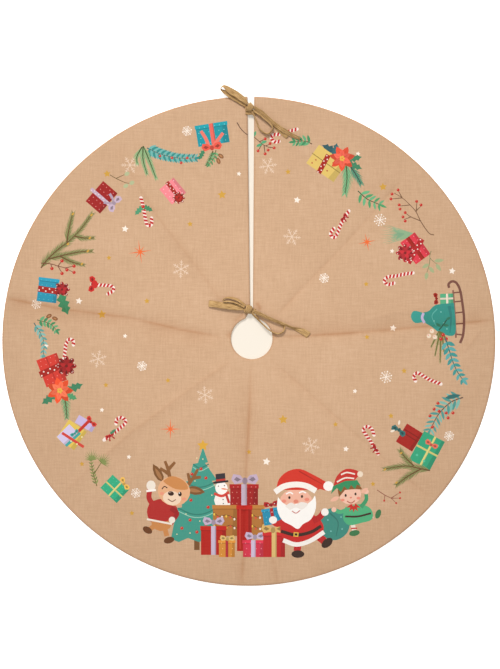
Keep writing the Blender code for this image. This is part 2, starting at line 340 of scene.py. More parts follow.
def tape_piece(name, form, material):
    """Makes a strip of tape a piece of its thickness, which stays with the rear half."""
    mesh = bpy.data.meshes.new(name)
    form.to_mesh(mesh)
    form.free()
    mesh.materials.append(material)
    obj = bpy.data.objects.new(name, mesh)
    bpy.context.scene.collection.objects.link(obj)
    solid = obj.modifiers.new("thickness", "SOLIDIFY")
    solid.thickness = TAPE_THICKNESS
    solid.offset = 0
    smooth = obj.modifiers.new("smooth", "SUBSURF")
    smooth.levels = 1
    smooth.render_levels = 1
    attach(obj, "rear_half")
    return obj


# Points of each stretch in millimetres: plan from its knot's middle, height from the cloth's top, the
# tape's tilt in degrees, and how wide the tape still is where it is creased together.
OUTER_TIES = {
    "outer_left_loop": [
        (-7.2, 2.8, 3.0, 16, 9.0),
        (-13.2, 9.0, 2.8, 14, 11.0),
        (-26.3, 18.4, 2.8, 12, 12.0),
        (-39.0, 25.6, 3.2, 20, 12.0),
        (-47.5, 29.6, 4.2, 44, 10.0),
        (-53.2, 33.2, 5.4, 72, 9.5),
        (-52.0, 38.0, 6.2, 104, 9.5),
        (-46.5, 38.4, 6.4, 136, 10.0),
        (-36.5, 31.0, 6.4, 164, 12.0),
        (-23.5, 23.0, 6.4, 168, 12.0),
        (-10.6, 13.2, 6.0, 166, 10.5),
        (-4.2, 6.4, 5.6, 156, 9.0),
    ],
    "outer_right_loop": [
        (6.3, -4.4, 4.5, 130, 7.0),
        (17.0, -11.5, 5.0, 128, 7.0),
        (27.5, -20.2, 5.0, 124, 7.0),
        (36.6, -28.5, 4.7, 116, 6.5),
        (41.4, -35.6, 4.7, 104, 6.0),
        (39.6, -42.0, 4.7, 96, 5.5),
        (32.2, -47.6, 4.7, 90, 5.5),
        (24.6, -45.2, 4.7, 88, 5.5),
        (17.3, -38.0, 4.7, 86, 5.5),
        (13.0, -28.5, 4.7, 86, 5.5),
        (9.6, -18.6, 5.0, 80, 6.0),
        (3.3, -7.3, 5.4, 60, 8.0),
    ],
    "outer_long_tail": [
        (7.7, 0.9, 6.6, 24, 8.0),
        (14.4, -3.7, 6.6, 24, 7.0),
        (27.5, -13.8, 6.6, 26, 6.5),
        (40.6, -26.2, 6.4, 26, 6.5),
        (51.0, -34.6, 6.2, 22, 8.0),
        (61.5, -41.6, 6.0, 18, 8.5),
        (77.2, -50.1, 3.4, 20, 7.0),
        (91.6, -56.9, 2.3, 16, 5.0),
    ],
    "outer_short_tail": [
        (7.6, 0.2, 2.0, 20, 6.0),
        (14.4, -4.2, 2.0, 15, 6.0),
        (27.5, -14.6, 2.0, 10, 6.0),
        (40.6, -27.0, 2.0, 8, 7.0),
        (50.5, -36.2, 2.0, 6, 9.0),
        (60.5, -45.2, 2.0, 4, 11.0),
        (70.0, -52.0, 2.0, 4, 12.0),
    ],
}
INNER_TIES = {
    "inner_left_tail": [
        (-7.6, 1.1, 4.2, 14, 11.0),
        (-25.6, 4.0, 4.8, 10, 12.0),
        (-45.6, 6.6, 5.0, 8, 12.0),
        (-60.6, 8.8, 4.2, 6, 12.0),
        (-73.2, 10.4, 3.0, 4, 12.6),
    ],
    "inner_left_loop": [
        (-5.2, 5.7, 4.6, 60, 8.5),
        (-14.0, 13.0, 5.2, 56, 9.0),
        (-24.6, 18.8, 5.2, 58, 8.5),
        (-36.6, 21.0, 5.2, 66, 7.0),
        (-45.6, 18.6, 5.2, 84, 6.0),
        (-46.2, 14.0, 5.2, 100, 6.0),
        (-36.6, 14.4, 5.6, 112, 5.0),
        (-26.6, 12.4, 6.2, 112, 5.0),
        (-15.6, 8.3, 6.8, 112, 5.5),
        (-7.3, 2.9, 6.8, 110, 7.0),
    ],
    "inner_right_loop": [
        (5.2, -5.7, 3.2, 60, 8.0),
        (13.9, -15.4, 3.0, 70, 7.0),
        (25.4, -27.4, 3.0, 78, 6.0),
        (35.4, -36.6, 3.0, 82, 5.5),
        (44.4, -42.4, 3.0, 84, 5.5),
        (54.6, -45.2, 3.0, 88, 5.5),
        (63.4, -41.2, 2.6, 92, 5.0),
        (65.6, -35.2, 2.0, 112, 4.5),
        (63.6, -29.4, 2.0, 140, 5.0),
        (57.4, -25.0, 2.0, 164, 5.5),
        (44.4, -19.4, 2.0, 168, 5.5),
        (29.4, -12.6, 2.2, 168, 5.5),
        (16.4, -6.2, 2.8, 166, 6.0),
        (7.5, -1.6, 3.2, 162, 7.0),
    ],
    "inner_right_tail": [
        (7.0, -3.3, 6.2, 26, 8.0),
        (19.4, -8.9, 6.4, 28, 7.0),
        (39.4, -18.0, 6.4, 30, 7.0),
        (54.4, -23.7, 6.4, 34, 6.5),
        (65.4, -28.2, 6.2, 44, 6.0),
        (77.4, -32.7, 4.2, 60, 6.0),
        (89.4, -37.2, 2.2, 16, 8.0),
        (100.4, -41.7, 2.1, 5, 11.5),
        (110.4, -48.4, 2.1, 3, 13.0),
    ],
}


def knot_band(name, middle, turn, reach, rise, width, lean, material):
    """One turn of tape round the knot, pulled tight: it runs up over the top and back underneath."""
    rows = 28
    columns = 8
    form = bmesh.new()
    uv = form.loops.layers.uv.new("tape")
    bmesh.ops.create_grid(form, x_segments=rows, y_segments=columns, size=1)
    way = Vector((math.cos(math.radians(turn)), math.sin(math.radians(turn)), 0))
    across = Vector((-way.y, way.x, lean)).normalized()
    places = {}
    for vert in form.verts:
        row = round((vert.co.x + 1) / 2 * rows)
        side = vert.co.y
        angle = 2 * math.pi * (row % rows) / rows
        out = way * math.cos(angle) * reach + Vector((0, 0, math.sin(angle) * rise))
        squeeze = 1 - 0.16 * side * side
        crease = 0.07 * math.cos(side * 8 + math.sin(angle + turn) * 1.2) + 0.05 * noise.noise(
            Vector((math.cos(angle) * 2, side * 2, turn))
        )
        places[vert.index] = (row * 0.0014, side * TAPE_WIDTH / 2)
        vert.co = middle + out * (squeeze + crease) + across * side * width / 2
    for face in form.faces:
        face.smooth = True
        for loop in face.loops:
            loop[uv].uv = places[loop.vert.index]
    bmesh.ops.remove_doubles(form, verts=form.verts, dist=1e-6)
    bmesh.ops.recalc_face_normals(form, faces=form.faces)
    return tape_piece(name, form, material)


def lead_tape(name, side, row, material):
    """A tie's short start: it comes out of the seam in the slit's edge and crosses the slit under the
    knot."""
    middle, half = slit_shape(row)
    base = cloth_top + cloth_lift(middle + side * half, row) / 1000
    points = []
    for out, up, rise, width in (
        (half + 3.8, 1.6, 1.5, 8.5),
        (half - 0.6, 0.8, 2.0, 9.0),
        (half - 4.0, 0.4, 2.6 + 0.4 * side, 9.0),
        (-0.5, 1.8, 3.4 + 0.6 * side, 8.5),
    ):
        points.append(
            ((middle + side * out) / 1000, (row + up) / 1000, base + rise / 1000, 0.0, width / 1000),
        )
    return tape_mesh(name, smooth_route(points, 0.0014), material, pinched_ends=(False, False))


tape = jute_tape()
OUTER_LIE = -35.0
INNER_LIE = -14.0
OUTER_LEADS_Y = 417.6
INNER_LEADS_Y = 53.4
# Each bow has its knot's middle, its stretches, the way its knot is turned, and how far back its leads start.
BOWS = (
    ("outer", OUTER_KNOT, OUTER_TIES, OUTER_LIE, OUTER_LEADS_Y),
    ("inner", INNER_KNOT, INNER_TIES, INNER_LIE, INNER_LEADS_Y),
)
for word, knot, ties, lie, lead_row in BOWS:
    base = cloth_top + cloth_lift(knot[0] * 1000, knot[1] * 1000) / 1000
    middle = Vector((*knot, base + 0.0046))
    for part_word, turn, away, reach, rise, width, lean in (
        ("wrap", 90, (0.0, 0.0, 0.0), 0.0072, 0.0050, 0.0105, 0.25),
        ("over", 160, (0.0016, 0.0022, -0.0002), 0.0066, 0.0046, 0.0085, -0.3),
        ("under", 38, (-0.0016, -0.0018, -0.0010), 0.0072, 0.0036, 0.0090, 0.2),
    ):
        place = middle + Vector(away)
        knot_band(f"{word}_knot_{part_word}", place, lie + turn, reach, rise, width, lean, tape)
    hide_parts(f"{word}_knot")
    for side_word, side in (("left", -1), ("right", 1)):
        lead = lead_tape(f"{word}_{side_word}_lead_tape", side, lead_row, tape)
        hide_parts(f"{word}_{side_word}_lead")
    for name, chosen in ties.items():
        points = []
        for x, y, z, tilt, width in chosen:
            points.append([x / 1000, y / 1000, z / 1000, tilt, width / 1000])
        is_loop = name.endswith("loop")
        for end in (0, -1) if is_loop else (0,):
            reach = KNOT_ROOM / math.hypot(*points[end][:2])
            points[end][0] *= reach
            points[end][1] *= reach
        for point in points:
            point[0] += knot[0]
            point[1] += knot[1]
            point[2] += cloth_top + cloth_lift(point[0] * 1000, point[1] * 1000) / 1000
        route = smooth_route(points, 0.0028)
        stretch = tape_mesh(f"{name}_tape", route, tape, pinched_ends=(True, is_loop))
        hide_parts(name)

# The bar tacks: a dense zigzag of sewing thread beside each tie, through both layers of the slit's edge.
TACK_THREAD = 0.00042


def sewing_thread():
    """Spun polyester sewing thread in the cloth's colour: a fine two-ply twist with a slight sheen."""
    material, tree, shader = new_material("spun_polyester_sewing_thread", 0.6, 0.2)
    place = add_node(tree, "ShaderNodeTexCoord")
    twist = add_node(
        tree,
        "ShaderNodeTexWave",
        {"bands_direction": "DIAGONAL"},
        {"Vector": place.outputs["Object"], "Scale": 520.0, "Distortion": 1.5},
    )
    # The darker bands along the twist are painted shade in the grooves between the two plies.
    ramp = add_node(tree, "ShaderNodeValToRGB", inputs={"Fac": twist.outputs["Fac"]})
    set_ramp(ramp, (0.1, "#A98563"), (0.9, "#C9A684"))
    bump = add_node(
        tree, "ShaderNodeBump", inputs={"Strength": 0.4, "Distance": 0.0001, "Height": twist.outputs["Fac"]}
    )
    tree.links.new(ramp.outputs["Color"], shader.inputs["Base Color"])
    tree.links.new(bump.outputs["Normal"], shader.inputs["Normal"])
    return material


def bar_tack(name, thread):
    """One tack in the place of its plain bar: a thread that runs to and fro across the bar all along it."""
    low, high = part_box(name)
    middle = (low + high) / 2
    lift = cloth_lift(middle.x * 1000, middle.y * 1000) / 1000
    stitches = 15
    curve_data = bpy.data.curves.new(f"{name}_stitches", "CURVE")
    curve_data.dimensions = "3D"
    curve_data.bevel_depth = TACK_THREAD / 2
    curve_data.bevel_resolution = 1
    curve_data.use_fill_caps = True
    spline = curve_data.splines.new("POLY")
    spline.points.add(stitches * 4)
    for index, point in enumerate(spline.points):
        share = index / (stitches * 4)
        swing = math.sin(index * math.pi / 2)
        arch = 0.00030 * (1 - swing * swing) - 0.00035 * swing * swing
        x = middle.x + swing * (high.x - low.x) / 2
        y = low.y + share * (high.y - low.y)
        point.co = (x, y, cloth_top + lift + 0.0002 + arch, 1)
    made = bpy.data.objects.new("tack_run", curve_data)
    mesh = bpy.data.meshes.new_from_object(made)
    mesh.name = f"{name}_stitches"
    bpy.data.objects.remove(made)
    mesh.materials.clear()
    mesh.materials.append(thread)
    obj = bpy.data.objects.new(f"{name}_stitches", mesh)
    bpy.context.scene.collection.objects.link(obj)
    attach(obj, "rear_half")
    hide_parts(name)


thread = sewing_thread()
for word in ("outer", "inner"):
    for side_word in ("left", "right"):
        bar_tack(f"{word}_{side_word}_tack", thread)

# The seam that joins the layers, one thread just inside the edge, stays as it is and takes the same thread.
for name in ("rear_left", "rear_right", "front_rim", "front_hole"):
    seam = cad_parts[f"seam_thread_{name}"]
    seam.data.materials.clear()
    seam.data.materials.append(thread)

# The printed cover: one round of plain-woven linen-look polyester with a printed winter border. Its edge is
# turned under and sewn to the lining, which leaves a soft rolled rim round the skirt, hole and slit.
COVER_THICKNESS = 0.0010
ROLL_WIDTH = 4.0
ROLL_DROP = 0.7
GRID_STEP = 7.6
SAME_PLACE = 0.001


def spread_angles(start, end, radius, spacing):
    steps = max(2, round(abs(end - start) * radius / spacing))
    return [start + (end - start) * step / steps for step in range(steps + 1)]


def cloth_outline(inset, spacing):
    """The cloth's edge moved in by inset: round the rim from the slit, in along the slit, and round the
    hole."""
    radius = rim_radius(math.pi / 2) - inset
    hole = HOLE_RADIUS + inset
    start = HOLE_MIDDLE[1] + math.sqrt(hole**2 - (NECK_WIDTH / 2 + inset) ** 2)
    rows = [start + NECK_LENGTH * step / 6 for step in range(6)]
    row = rows[-1]
    while row < radius - 0.5 - spacing:
        row += spacing
        rows.append(row)
    edges = []
    for side in (-1, 1):
        edge = [(slit_shape(y)[0] + side * (slit_shape(y)[1] + inset), y) for y in rows]
        rim_x = slit_shape(radius)[0] + side * (slit_shape(radius)[1] + inset)
        edge.append((rim_x, math.sqrt(radius**2 - rim_x**2)))
        edges.append(edge)
    left, right = edges
    rim_start = math.atan2(right[-1][1], right[-1][0])
    rim_end = math.atan2(left[-1][1], left[-1][0]) - 2 * math.pi
    rim = []
    for angle in spread_angles(rim_start, rim_end, radius, spacing)[:-1]:
        away = rim_radius(angle) - inset
        rim.append((away * math.cos(angle), away * math.sin(angle)))
    hole_start = math.atan2(left[0][1] - HOLE_MIDDLE[1], left[0][0] - HOLE_MIDDLE[0])
    hole_end = math.atan2(right[0][1] - HOLE_MIDDLE[1], right[0][0] - HOLE_MIDDLE[0]) + 2 * math.pi
    inner = []
    for angle in spread_angles(hole_start, hole_end, hole, min(spacing, 4.0))[1:-1]:
        inner.append((HOLE_MIDDLE[0] + hole * math.cos(angle), HOLE_MIDDLE[1] + hole * math.sin(angle)))
    return rim + left[::-1] + inner + right[:-1]


def inside_cloth(x, y, inset):
    """How far a point is inside the cloth's edge, less the inset. It is negative outside."""
    from_rim = rim_radius(math.atan2(y, x)) - math.hypot(x, y)
    room = min(from_rim, math.hypot(x - HOLE_MIDDLE[0], y - HOLE_MIDDLE[1]) - HOLE_RADIUS)
    if y > HOLE_MIDDLE[1]:
        middle, half = slit_shape(y)
        room = min(room, abs(x - middle) - half)
    return room - inset


# The print, one motif after another as its inks are laid down: each area of ink is an outline and a colour.
print_areas = []
INK_DEPTH = 0.84


def ink(outline, colour):
    print_areas.append((outline, [part * INK_DEPTH for part in linear(colour)]))


def put(points, x, y, turn=0.0, size=1.0):
    """The points of a motif's own plan, turned and moved to its place on the cloth."""
    c = math.cos(math.radians(turn)) * size
    s = math.sin(math.radians(turn)) * size
    return [(x + px * c - py * s, y + px * s + py * c) for px, py in points]


def oval(x, y, long, wide=None, turn=0.0, count=12):
    wide = wide or long
    points = []
    for step in range(count):
        angle = 2 * math.pi * step / count
        points.append((long * math.cos(angle), wide * math.sin(angle)))
    return put(points, x, y, turn)


def spots(places, size, colour):
    """Small round dots of ink, all of one size."""
    for place in places:
        ink(oval(*place, size, count=6), colour)


def patch(x, y, width, height, turn=0.0):
    corners = [
        (-width / 2, -height / 2), (width / 2, -height / 2), (width / 2, height / 2),
        (-width / 2, height / 2),
    ]
    return put(corners, x, y, turn)


def leaf(base, tip, width):
    """A leaf's outline from its base to its pointed tip."""
    length = math.dist(base, tip)
    turn = math.degrees(math.atan2(tip[1] - base[1], tip[0] - base[0]))
    sides = [
        (0.0, 0.0), (0.22, 0.42), (0.5, 0.5), (0.78, 0.33), (1.0, 0.0), (0.78, -0.33), (0.5, -0.5),
        (0.22, -0.42),
    ]
    return put([(a * length, b * width) for a, b in sides], *base, turn)


def curve(points, steps=4):
    """More points along a smooth curve through the chosen ones."""
    if len(points) < 3:
        return list(points)
    route = [Vector(p) for p in points]
    ends = [2 * route[0] - route[1], *route, 2 * route[-1] - route[-2]]
    fine = []
    for before, start, end, after in zip(ends, ends[1:], ends[2:], ends[3:]):
        for step in range(steps):
            t = step / steps
            bend = (
                2 * before - 5 * start + 4 * end - after
            ) * t**2 + (3 * start - before - 3 * end + after) * t**3
            fine.append(tuple(0.5 * (2 * start + (end - before) * t + bend)))
    fine.append(tuple(route[-1]))
    return fine


def rounded(outline, steps):
    """A closed outline with its corners drawn smooth."""
    return curve([*outline, outline[0]], steps)[:-1]


def sides_of(line, widths):
    """The two sides of a stroke along a line."""
    left = []
    right = []
    for index, (x, y) in enumerate(line):
        before = line[max(index - 1, 0)]
        after = line[min(index + 1, len(line) - 1)]
        length = max(math.dist(before, after), 1e-6)
        across = (-(after[1] - before[1]) / length, (after[0] - before[0]) / length)
        half = widths[index] / 2
        left.append((x + across[0] * half, y + across[1] * half))
        right.append((x - across[0] * half, y - across[1] * half))
    return left, right


def stroke(points, width, tip=None, steps=4):
    """A drawn line's outline. It thins to the tip's width if one is given."""
    line = curve(points, steps)
    tip = width if tip is None else tip
    widths = [width + (tip - width) * index / (len(line) - 1) for index in range(len(line))]
    left, right = sides_of(line, widths)
    return left + right[::-1]


def along(points, spacing, start=0.0):
    """Places at even spacing along a smooth line, each with the line's direction in degrees."""
    line = curve(points, 6)
    found = []
    run = 0.0
    goal = start
    for a, b in zip(line, line[1:]):
        span = math.dist(a, b)
        while goal <= run + span and span > 0:
            share = (goal - run) / span
            turn = math.degrees(math.atan2(b[1] - a[1], b[0] - a[0]))
            found.append((a[0] + (b[0] - a[0]) * share, a[1] + (b[1] - a[1]) * share, turn))
            goal += spacing
        run += span
    return found


def shade(colour, share):
    """A darker or, above 1, a lighter colour of the same ink."""
    parts = [min(255, round(int(colour[i : i + 2], 16) * share)) for i in (1, 3, 5)]
    return "#" + "".join(f"{p:02X}" for p in parts)


def ray(x, y, turn, near, far, width):
    return put([(near, -width / 2), (far, 0), (near, width / 2)], x, y, turn)


def star(x, y, radius, colour, turn=90.0, points=5, waist=0.5):
    outline = []
    for step in range(points * 2):
        reach = radius if step % 2 == 0 else radius * waist
        angle = math.pi * step / points
        outline.append((reach * math.cos(angle), reach * math.sin(angle)))
    ink(put(outline, x, y, turn), colour)


def round_flake(x, y, radius):
    """A small snowflake drawn as a ring of dots round six short arms."""
    for arm in range(6):
        turn = 60 * arm + 15
        ink(
            put([(0.5, -0.7), (radius * 0.74, -0.6), (radius * 0.74, 0.6), (0.5, 0.7)], x, y, turn),
            "#FFF3E6",
        )
        ink(put(oval(radius * 0.92, 0, 1.5, count=6), x, y, turn), "#FFF3E6")
        ink(put(oval(radius * 0.86, 0, 1.1, count=6), x, y, turn + 30), "#FFF3E6")
        ink(put(oval(radius * 0.5, 0, 0.9, count=5), x, y, turn + 30), "#FFF3E6")


def faint_flake(x, y, radius, turn=12.0):
    """A large snowflake in a thin pale ink."""
    for arm in range(6):
        way = 60 * arm + turn
        ink(put([(0, -0.7), (radius, -0.55), (radius, 0.55), (0, 0.7)], x, y, way), "#EBCFB6")
        for place in (0.45, 0.72):
            for side in (-1, 1):
                reach = radius * (0.42 - 0.3 * place)
                barb = [(0, -0.55), (reach, -0.45), (reach, 0.45), (0, 0.55)]
                start = put([(radius * place, 0)], x, y, way)[0]
                ink(put(barb, *start, way + 55 * side), "#EBCFB6")


def sparkle(x, y, long, colour="#F06C34", turn=0.0):
    """A star of fine rays, four long ones and four short ones between."""
    for step in range(8):
        reach = long if step % 2 == 0 else long * 0.62
        ink(ray(x, y, turn + 45 * step, 0.2, reach, 2.6), colour)


def berry(x, y, radius=2.6, colour="#C5302B"):
    ink(oval(x, y, radius, count=9), colour)
    ink(oval(x - radius * 0.3, y + radius * 0.35, radius * 0.28, count=5), "#F08A78")


def berries(places, size, colour):
    for place in places:
        berry(*place, size, colour)


def cane(points, width=6.2, stripe=6.6):
    """A striped sugar cane: a white stroke with slanted red bands."""
    line = curve(points, 6)
    ink(stroke(points, width, steps=6), "#FBE9DE")
    ink(oval(*line[0], width / 2, count=8), "#FBE9DE")
    ink(oval(*line[-1], width / 2, count=8), "#FBE9DE")
    for x, y, turn in along(points, stripe, stripe * 0.45):
        band = [(-3.1, -width / 2), (0.8, -width / 2), (3.1, width / 2), (-0.8, width / 2)]
        ink(put(band, x, y, turn), "#C42B2C")


def bow(x, y, size, turn, colour, tails=True):
    """A ribbon bow: two loops with their dark insides, the knot between them, and two tails."""
    if tails:
        for side in (-1, 1):
            tail = [(0, 0), (side * size * 0.35, -size * 0.45), (side * size * 0.55, -size * 0.95)]
            ink(put(stroke(tail, size * 0.2, size * 0.3), x, y, turn), shade(colour, 0.88))
    for side in (-1, 1):
        loop = [
            (0, 0),
            (side * 0.35, 0.42),
            (side * 0.85, 0.5),
            (side * 1.0, 0.12),
            (side * 0.75, -0.25),
            (side * 0.3, -0.15),
        ]
        ink(put(loop, x, y, turn, size), colour)
        inside = [(side * 0.28, 0.1), (side * 0.62, 0.3), (side * 0.8, 0.1), (side * 0.55, -0.05)]
        ink(put(inside, x, y, turn, size), shade(colour, 0.68))
    ink(oval(x, y, size * 0.2, size * 0.26, turn, 8), shade(colour, 0.8))


def rosette(x, y, radius, colour, dots=None):
    """A full ribbon bow of many loops, seen from its front."""
    for ring, (count, out, long, wide) in enumerate(((8, 0.62, 0.44, 0.27), (5, 0.3, 0.34, 0.2))):
        for step in range(count):
            turn = 360 / count * step + 17 * ring
            middle = put([(radius * out, 0)], x, y, turn)[0]
            tone = shade(colour, 1.0 + 0.12 * ring - 0.14 * (step % 2))
            ink(oval(*middle, radius * long, radius * wide, turn, 8), tone)
            if ring == 0:
                hollow = put([(radius * 0.66, 0)], x, y, turn)[0]
                ink(oval(*hollow, radius * 0.22, radius * 0.09, turn, 6), shade(colour, 0.62))
            if dots:
                spot = put([(radius * 0.85, radius * 0.1)], x, y, turn)[0]
                ink(oval(*spot, 0.9, count=6), dots)
    ink(oval(x, y, radius * 0.16, count=8), shade(colour, 0.7))


def gift(
    x, y, width, height, turn, paper, ribbon, across=0.0, level=None, ribbon_width=7.0, dots=None, lid=0.0,
):
    """A wrapped box: its paper, a shaded side and lid, dots on the paper, and one or two ribbons."""
    ink(patch(x, y, width, height, turn), paper)
    side = [
        (width * 0.3, -height / 2), (width / 2, -height / 2), (width / 2, height / 2),
        (width * 0.36, height / 2),
    ]
    ink(put(side, x, y, turn), shade(paper, 0.88))
    if lid:
        edge = patch(0, height / 2 - lid / 2, width + 2.5, lid)
        ink(put(edge, x, y, turn), shade(paper, 1.08))
        ink(put(patch(0, height / 2 - lid - 0.5, width, 1.0), x, y, turn), shade(paper, 0.72))
    if dots:
        rows = max(2, round(height / 9))
        columns = max(2, round(width / 9))
        for row in range(rows):
            for column in range(columns):
                dot_x = (column + 0.5 + 0.25 * (row % 2)) / (columns + 0.25) * width - width / 2
                dot_y = (row + 0.5) / rows * height - height / 2
                ink(put(oval(dot_x, dot_y, 0.95, count=6), x, y, turn), dots)
    if level is not None:
        ink(put(patch(0, level, width, ribbon_width * 0.85), x, y, turn), shade(ribbon, 0.92))
    if across is not None:
        ink(put(patch(across, 0, ribbon_width, height), x, y, turn), ribbon)
        ink(
            put(patch(across + ribbon_width * 0.38, 0, ribbon_width * 0.2, height), x, y, turn),
            shade(ribbon, 0.8),
        )


def dotted_ribbon(points, width, colour="#A8241F"):
    ink(stroke(points, width), colour)
    places = along(points, 3.4 + width * 0.25, 2.5)
    for number, (x, y, turn) in enumerate(places):
        side = width * (0.22 if number % 2 else -0.22)
        ink(put(oval(0, side, 0.4 + width * 0.1, count=7), x, y, turn), "#FBE3D6")


def fir(points, reach, colour, spacing=2.4, stem_colour="#5E5230", slant=46.0, thin=2.1):
    """A fir twig: a stem with needles on both sides, shorter towards its tip."""
    places = along(points, spacing, spacing)
    for number, (x, y, turn) in enumerate(places):
        length = reach * (1.05 - 0.55 * number / max(1, len(places) - 1))
        for side in (-1, 1):
            swing = slant * (0.85 + 0.25 * noise.noise(Vector((x / 5, y / 5, side))))
            tone = shade(colour, 0.92 + 0.12 * ((number + side) % 3))
            ink(ray(x, y, turn + side * swing, 0, length, thin), tone)
    ink(stroke(points, 2.4, 1.2), stem_colour)


def leafy(points, length, width, colours, spacing, stem_colour, stem_width=1.6, slant=50.0, end_leaf=True):
    """A leafy twig: leaves in pairs along a stem, with a paler vein in each."""
    places = along(points, spacing, spacing * 0.8)
    ink(stroke(points, stem_width, stem_width * 0.6), stem_colour)
    for number, (x, y, turn) in enumerate(places):
        size = 1.0 - 0.35 * number / max(1, len(places))
        for side in (-1, 1):
            way = math.radians(turn + side * slant)
            tip = (x + length * size * math.cos(way), y + length * size * math.sin(way))
            ink(leaf((x, y), tip, width * size), colours[(number + (side > 0)) % len(colours)])
    if end_leaf:
        x, y, turn = places[-1]
        way = math.radians(turn)
        tip = (x + length * 0.9 * math.cos(way), y + length * 0.9 * math.sin(way))
        ink(leaf((x, y), tip, width * 0.8), colours[0])


def berry_twig(stems, berries, stem_colour, radius=2.6, width=1.4, colour="#C5302B"):
    for points in stems:
        ink(stroke(points, width, width * 0.6), stem_colour)
    for x, y in berries:
        berry(x, y, radius, colour)


def holly(base, tip, width, colour):
    """A holly leaf, with its points along both edges and a pale vein."""
    length = math.dist(base, tip)
    turn = math.degrees(math.atan2(tip[1] - base[1], tip[0] - base[0]))
    upper = [(0.12, 0.2), (0.2, 0.52), (0.36, 0.26), (0.48, 0.58), (0.62, 0.27), (0.74, 0.45), (0.84, 0.18)]
    edge = [(0, 0), *upper, (1, 0), *[(a, -b) for a, b in reversed(upper)]]
    ink(put([(a * length, b * width) for a, b in edge], *base, turn), colour)
    ink(put([(0, -0.25), (length * 0.85, 0), (0, 0.25)], *base, turn), shade(colour, 1.25))


def flower(x, y, radius, turn=0.0, outer="#E24A35", inner="#F56B4E"):
    """A poinsettia: a ring of wide petals with lighter ones over it, and small yellow buds in the middle."""
    for layer, (count, reach, wide, colour) in enumerate(((7, 1.0, 0.52, outer), (6, 0.72, 0.4, inner))):
        for step in range(count):
            way = math.radians(turn + 360 / count * step + 20 * layer)
            tip = (x + radius * reach * math.cos(way), y + radius * reach * math.sin(way))
            ink(leaf((x, y), tip, radius * wide), shade(colour, 0.92 + 0.08 * (step % 3)))
            ink(ray(x, y, math.degrees(way), radius * 0.1, radius * reach * 0.8, 0.9), shade(colour, 0.72))
    for step in range(5):
        way = math.radians(72 * step)
        bud = (x + radius * 0.13 * math.cos(way), y + radius * 0.13 * math.sin(way))
        ink(oval(*bud, radius * 0.09, count=6), "#E9B949")


# Scattered over the whole round: stars, sparkles and snowflakes.
for place in ((-112, 384.5), (-388, 67.5), (-194.5, -46), (-205.5, -278.5), (139, 115), (368, -174)):
    round_flake(*place, 8.6)
for place in ((241.5, 221.5), (252.5, -66)):
    round_flake(*place, 11.0)
for number, place in enumerate(
    (
        (-216.5, 322),
        (36.5, 320.5),
        (-275, -33),
        (-123, 131.5),
        (-79, -99),
        (115, -191.5),
        (80, 190.5),
    )
):
    faint_flake(*place, 16.5, 9 * number)
for place, radius in (
    ((-17, 306), 4.5),
    ((89.5, 258), 6.5),
    ((-225.5, 205), 6.5),
    ((-310, 73), 6.5),
    ((-370.5, -9.5), 5.5),
    ((-225.5, 9), 4.5),
    ((-268, -126.5), 4.5),
    ((-218.5, -212.5), 4.5),
    ((33.5, -221), 7.5),
    ((179, -198), 5.5),
    ((195.5, -92), 4.5),
    ((201, 342.5), 4.5),
    ((263.5, 164.5), 4.5),
    ((265.5, 23.5), 6.5),
    ((373.5, 128), 6.5),
):
    star(*place, radius, "#FFF0E0", 80)
for place, radius in (
    ((-258.5, 306), 7.0),
    ((73, 309.5), 5.5),
    ((-48, 267.5), 8.5),
    ((-106.5, 214), 5.5),
    ((-255, 152), 5.0),
    ((-268, 48.5), 8.5),
    ((-185.5, 73), 5.5),
    ((-260.5, -81), 5.0),
    ((-304.5, -225.5), 5.0),
    ((-213, -315.5), 5.0),
    ((-147, -72.5), 5.0),
    ((64, -144), 9.0),
    ((160, -153), 5.0),
    ((216, 104), 5.0),
    ((217.5, 7), 5.0),
    ((285.5, -55), 5.5),
    ((261.5, -137.5), 5.5),
    ((247, 282), 7.5),
    ((228.5, -262), 5.0),
    ((1.5, -203.5), 5.0),
):
    star(*place, radius, "#D3A143", 95)
sparkle(-198, 163, 22.0, turn=8)
sparkle(-142.5, -161.5, 20.0)
sparkle(217.5, 181, 17.0, turn=12)

# The border from the slit round to the left: gifts, canes and twigs.
TEAL_LEAVES = ("#2F8F8A", "#6FB8B0")
leafy(
    [(-185.5, 353.5), (-161.5, 342.5), (-128.5, 335), (-97.5, 335)], 15.5, 5.6, TEAL_LEAVES, 4.8, "#2F6F6E",
    2.0,
)
berries(((-161.5, 338.5), (-139.5, 335), (-112, 335), (-123, 326)), 2.6, "#C9413A")
for line in (
    [(-192.5, 357), (-181.5, 331.5), (-169, 298.5)], [(-192.5, 357), (-192.5, 331.5), (-185.5, 306)],
    [(-194.5, 355), (-203.5, 338.5), (-203.5, 326)],
):
    fir(line, 17.0, "#86A878", 2.4, "#4A5A36", 24.0)
berry_twig(
    [
        [(-253, 304), (-242, 297.5), (-225.5, 290), (-216.5, 288.5)],
        [(-242, 297.5), (-225.5, 305)],
    ],
    [],
    "#6D5A35",
)
for place in ((-222, 306), (-213, 289.5), (-224, 284)):
    ink(oval(*place, 5.0, 3.6, 30), "#B7BE93")
gift(-268.5, 263, 35, 49, -41, "#A11F22", "#D3C1CB", None, None, 6.5, "#E98C86")
dotted_ribbon([(-288, 278.5), (-249.5, 245.5)], 6.5, "#C9AFC0")
bow(-246, 252.5, 17.0, -125, "#CDB4C8")
gift(-138, 274.5, 34, 36, 40, "#F98A92", "#A8241F", None, None, 6.0, "#FFC9CB")
dotted_ribbon([(-149, 291), (-127, 262)], 7.0)
rosette(-127, 262, 11.0, "#A8241F", "#FBE3D6")
cane([(-196.5, 262), (-192.5, 247), (-187, 218), (-182.5, 211.5), (-177, 214), (-177, 225)])
holly((-192.5, 247), (-207.5, 230.5), 10.0, "#4E9A72")
holly((-192.5, 247), (-174.5, 238), 10.0, "#3F8A62")
berry(-192.5, 246, 3.4)

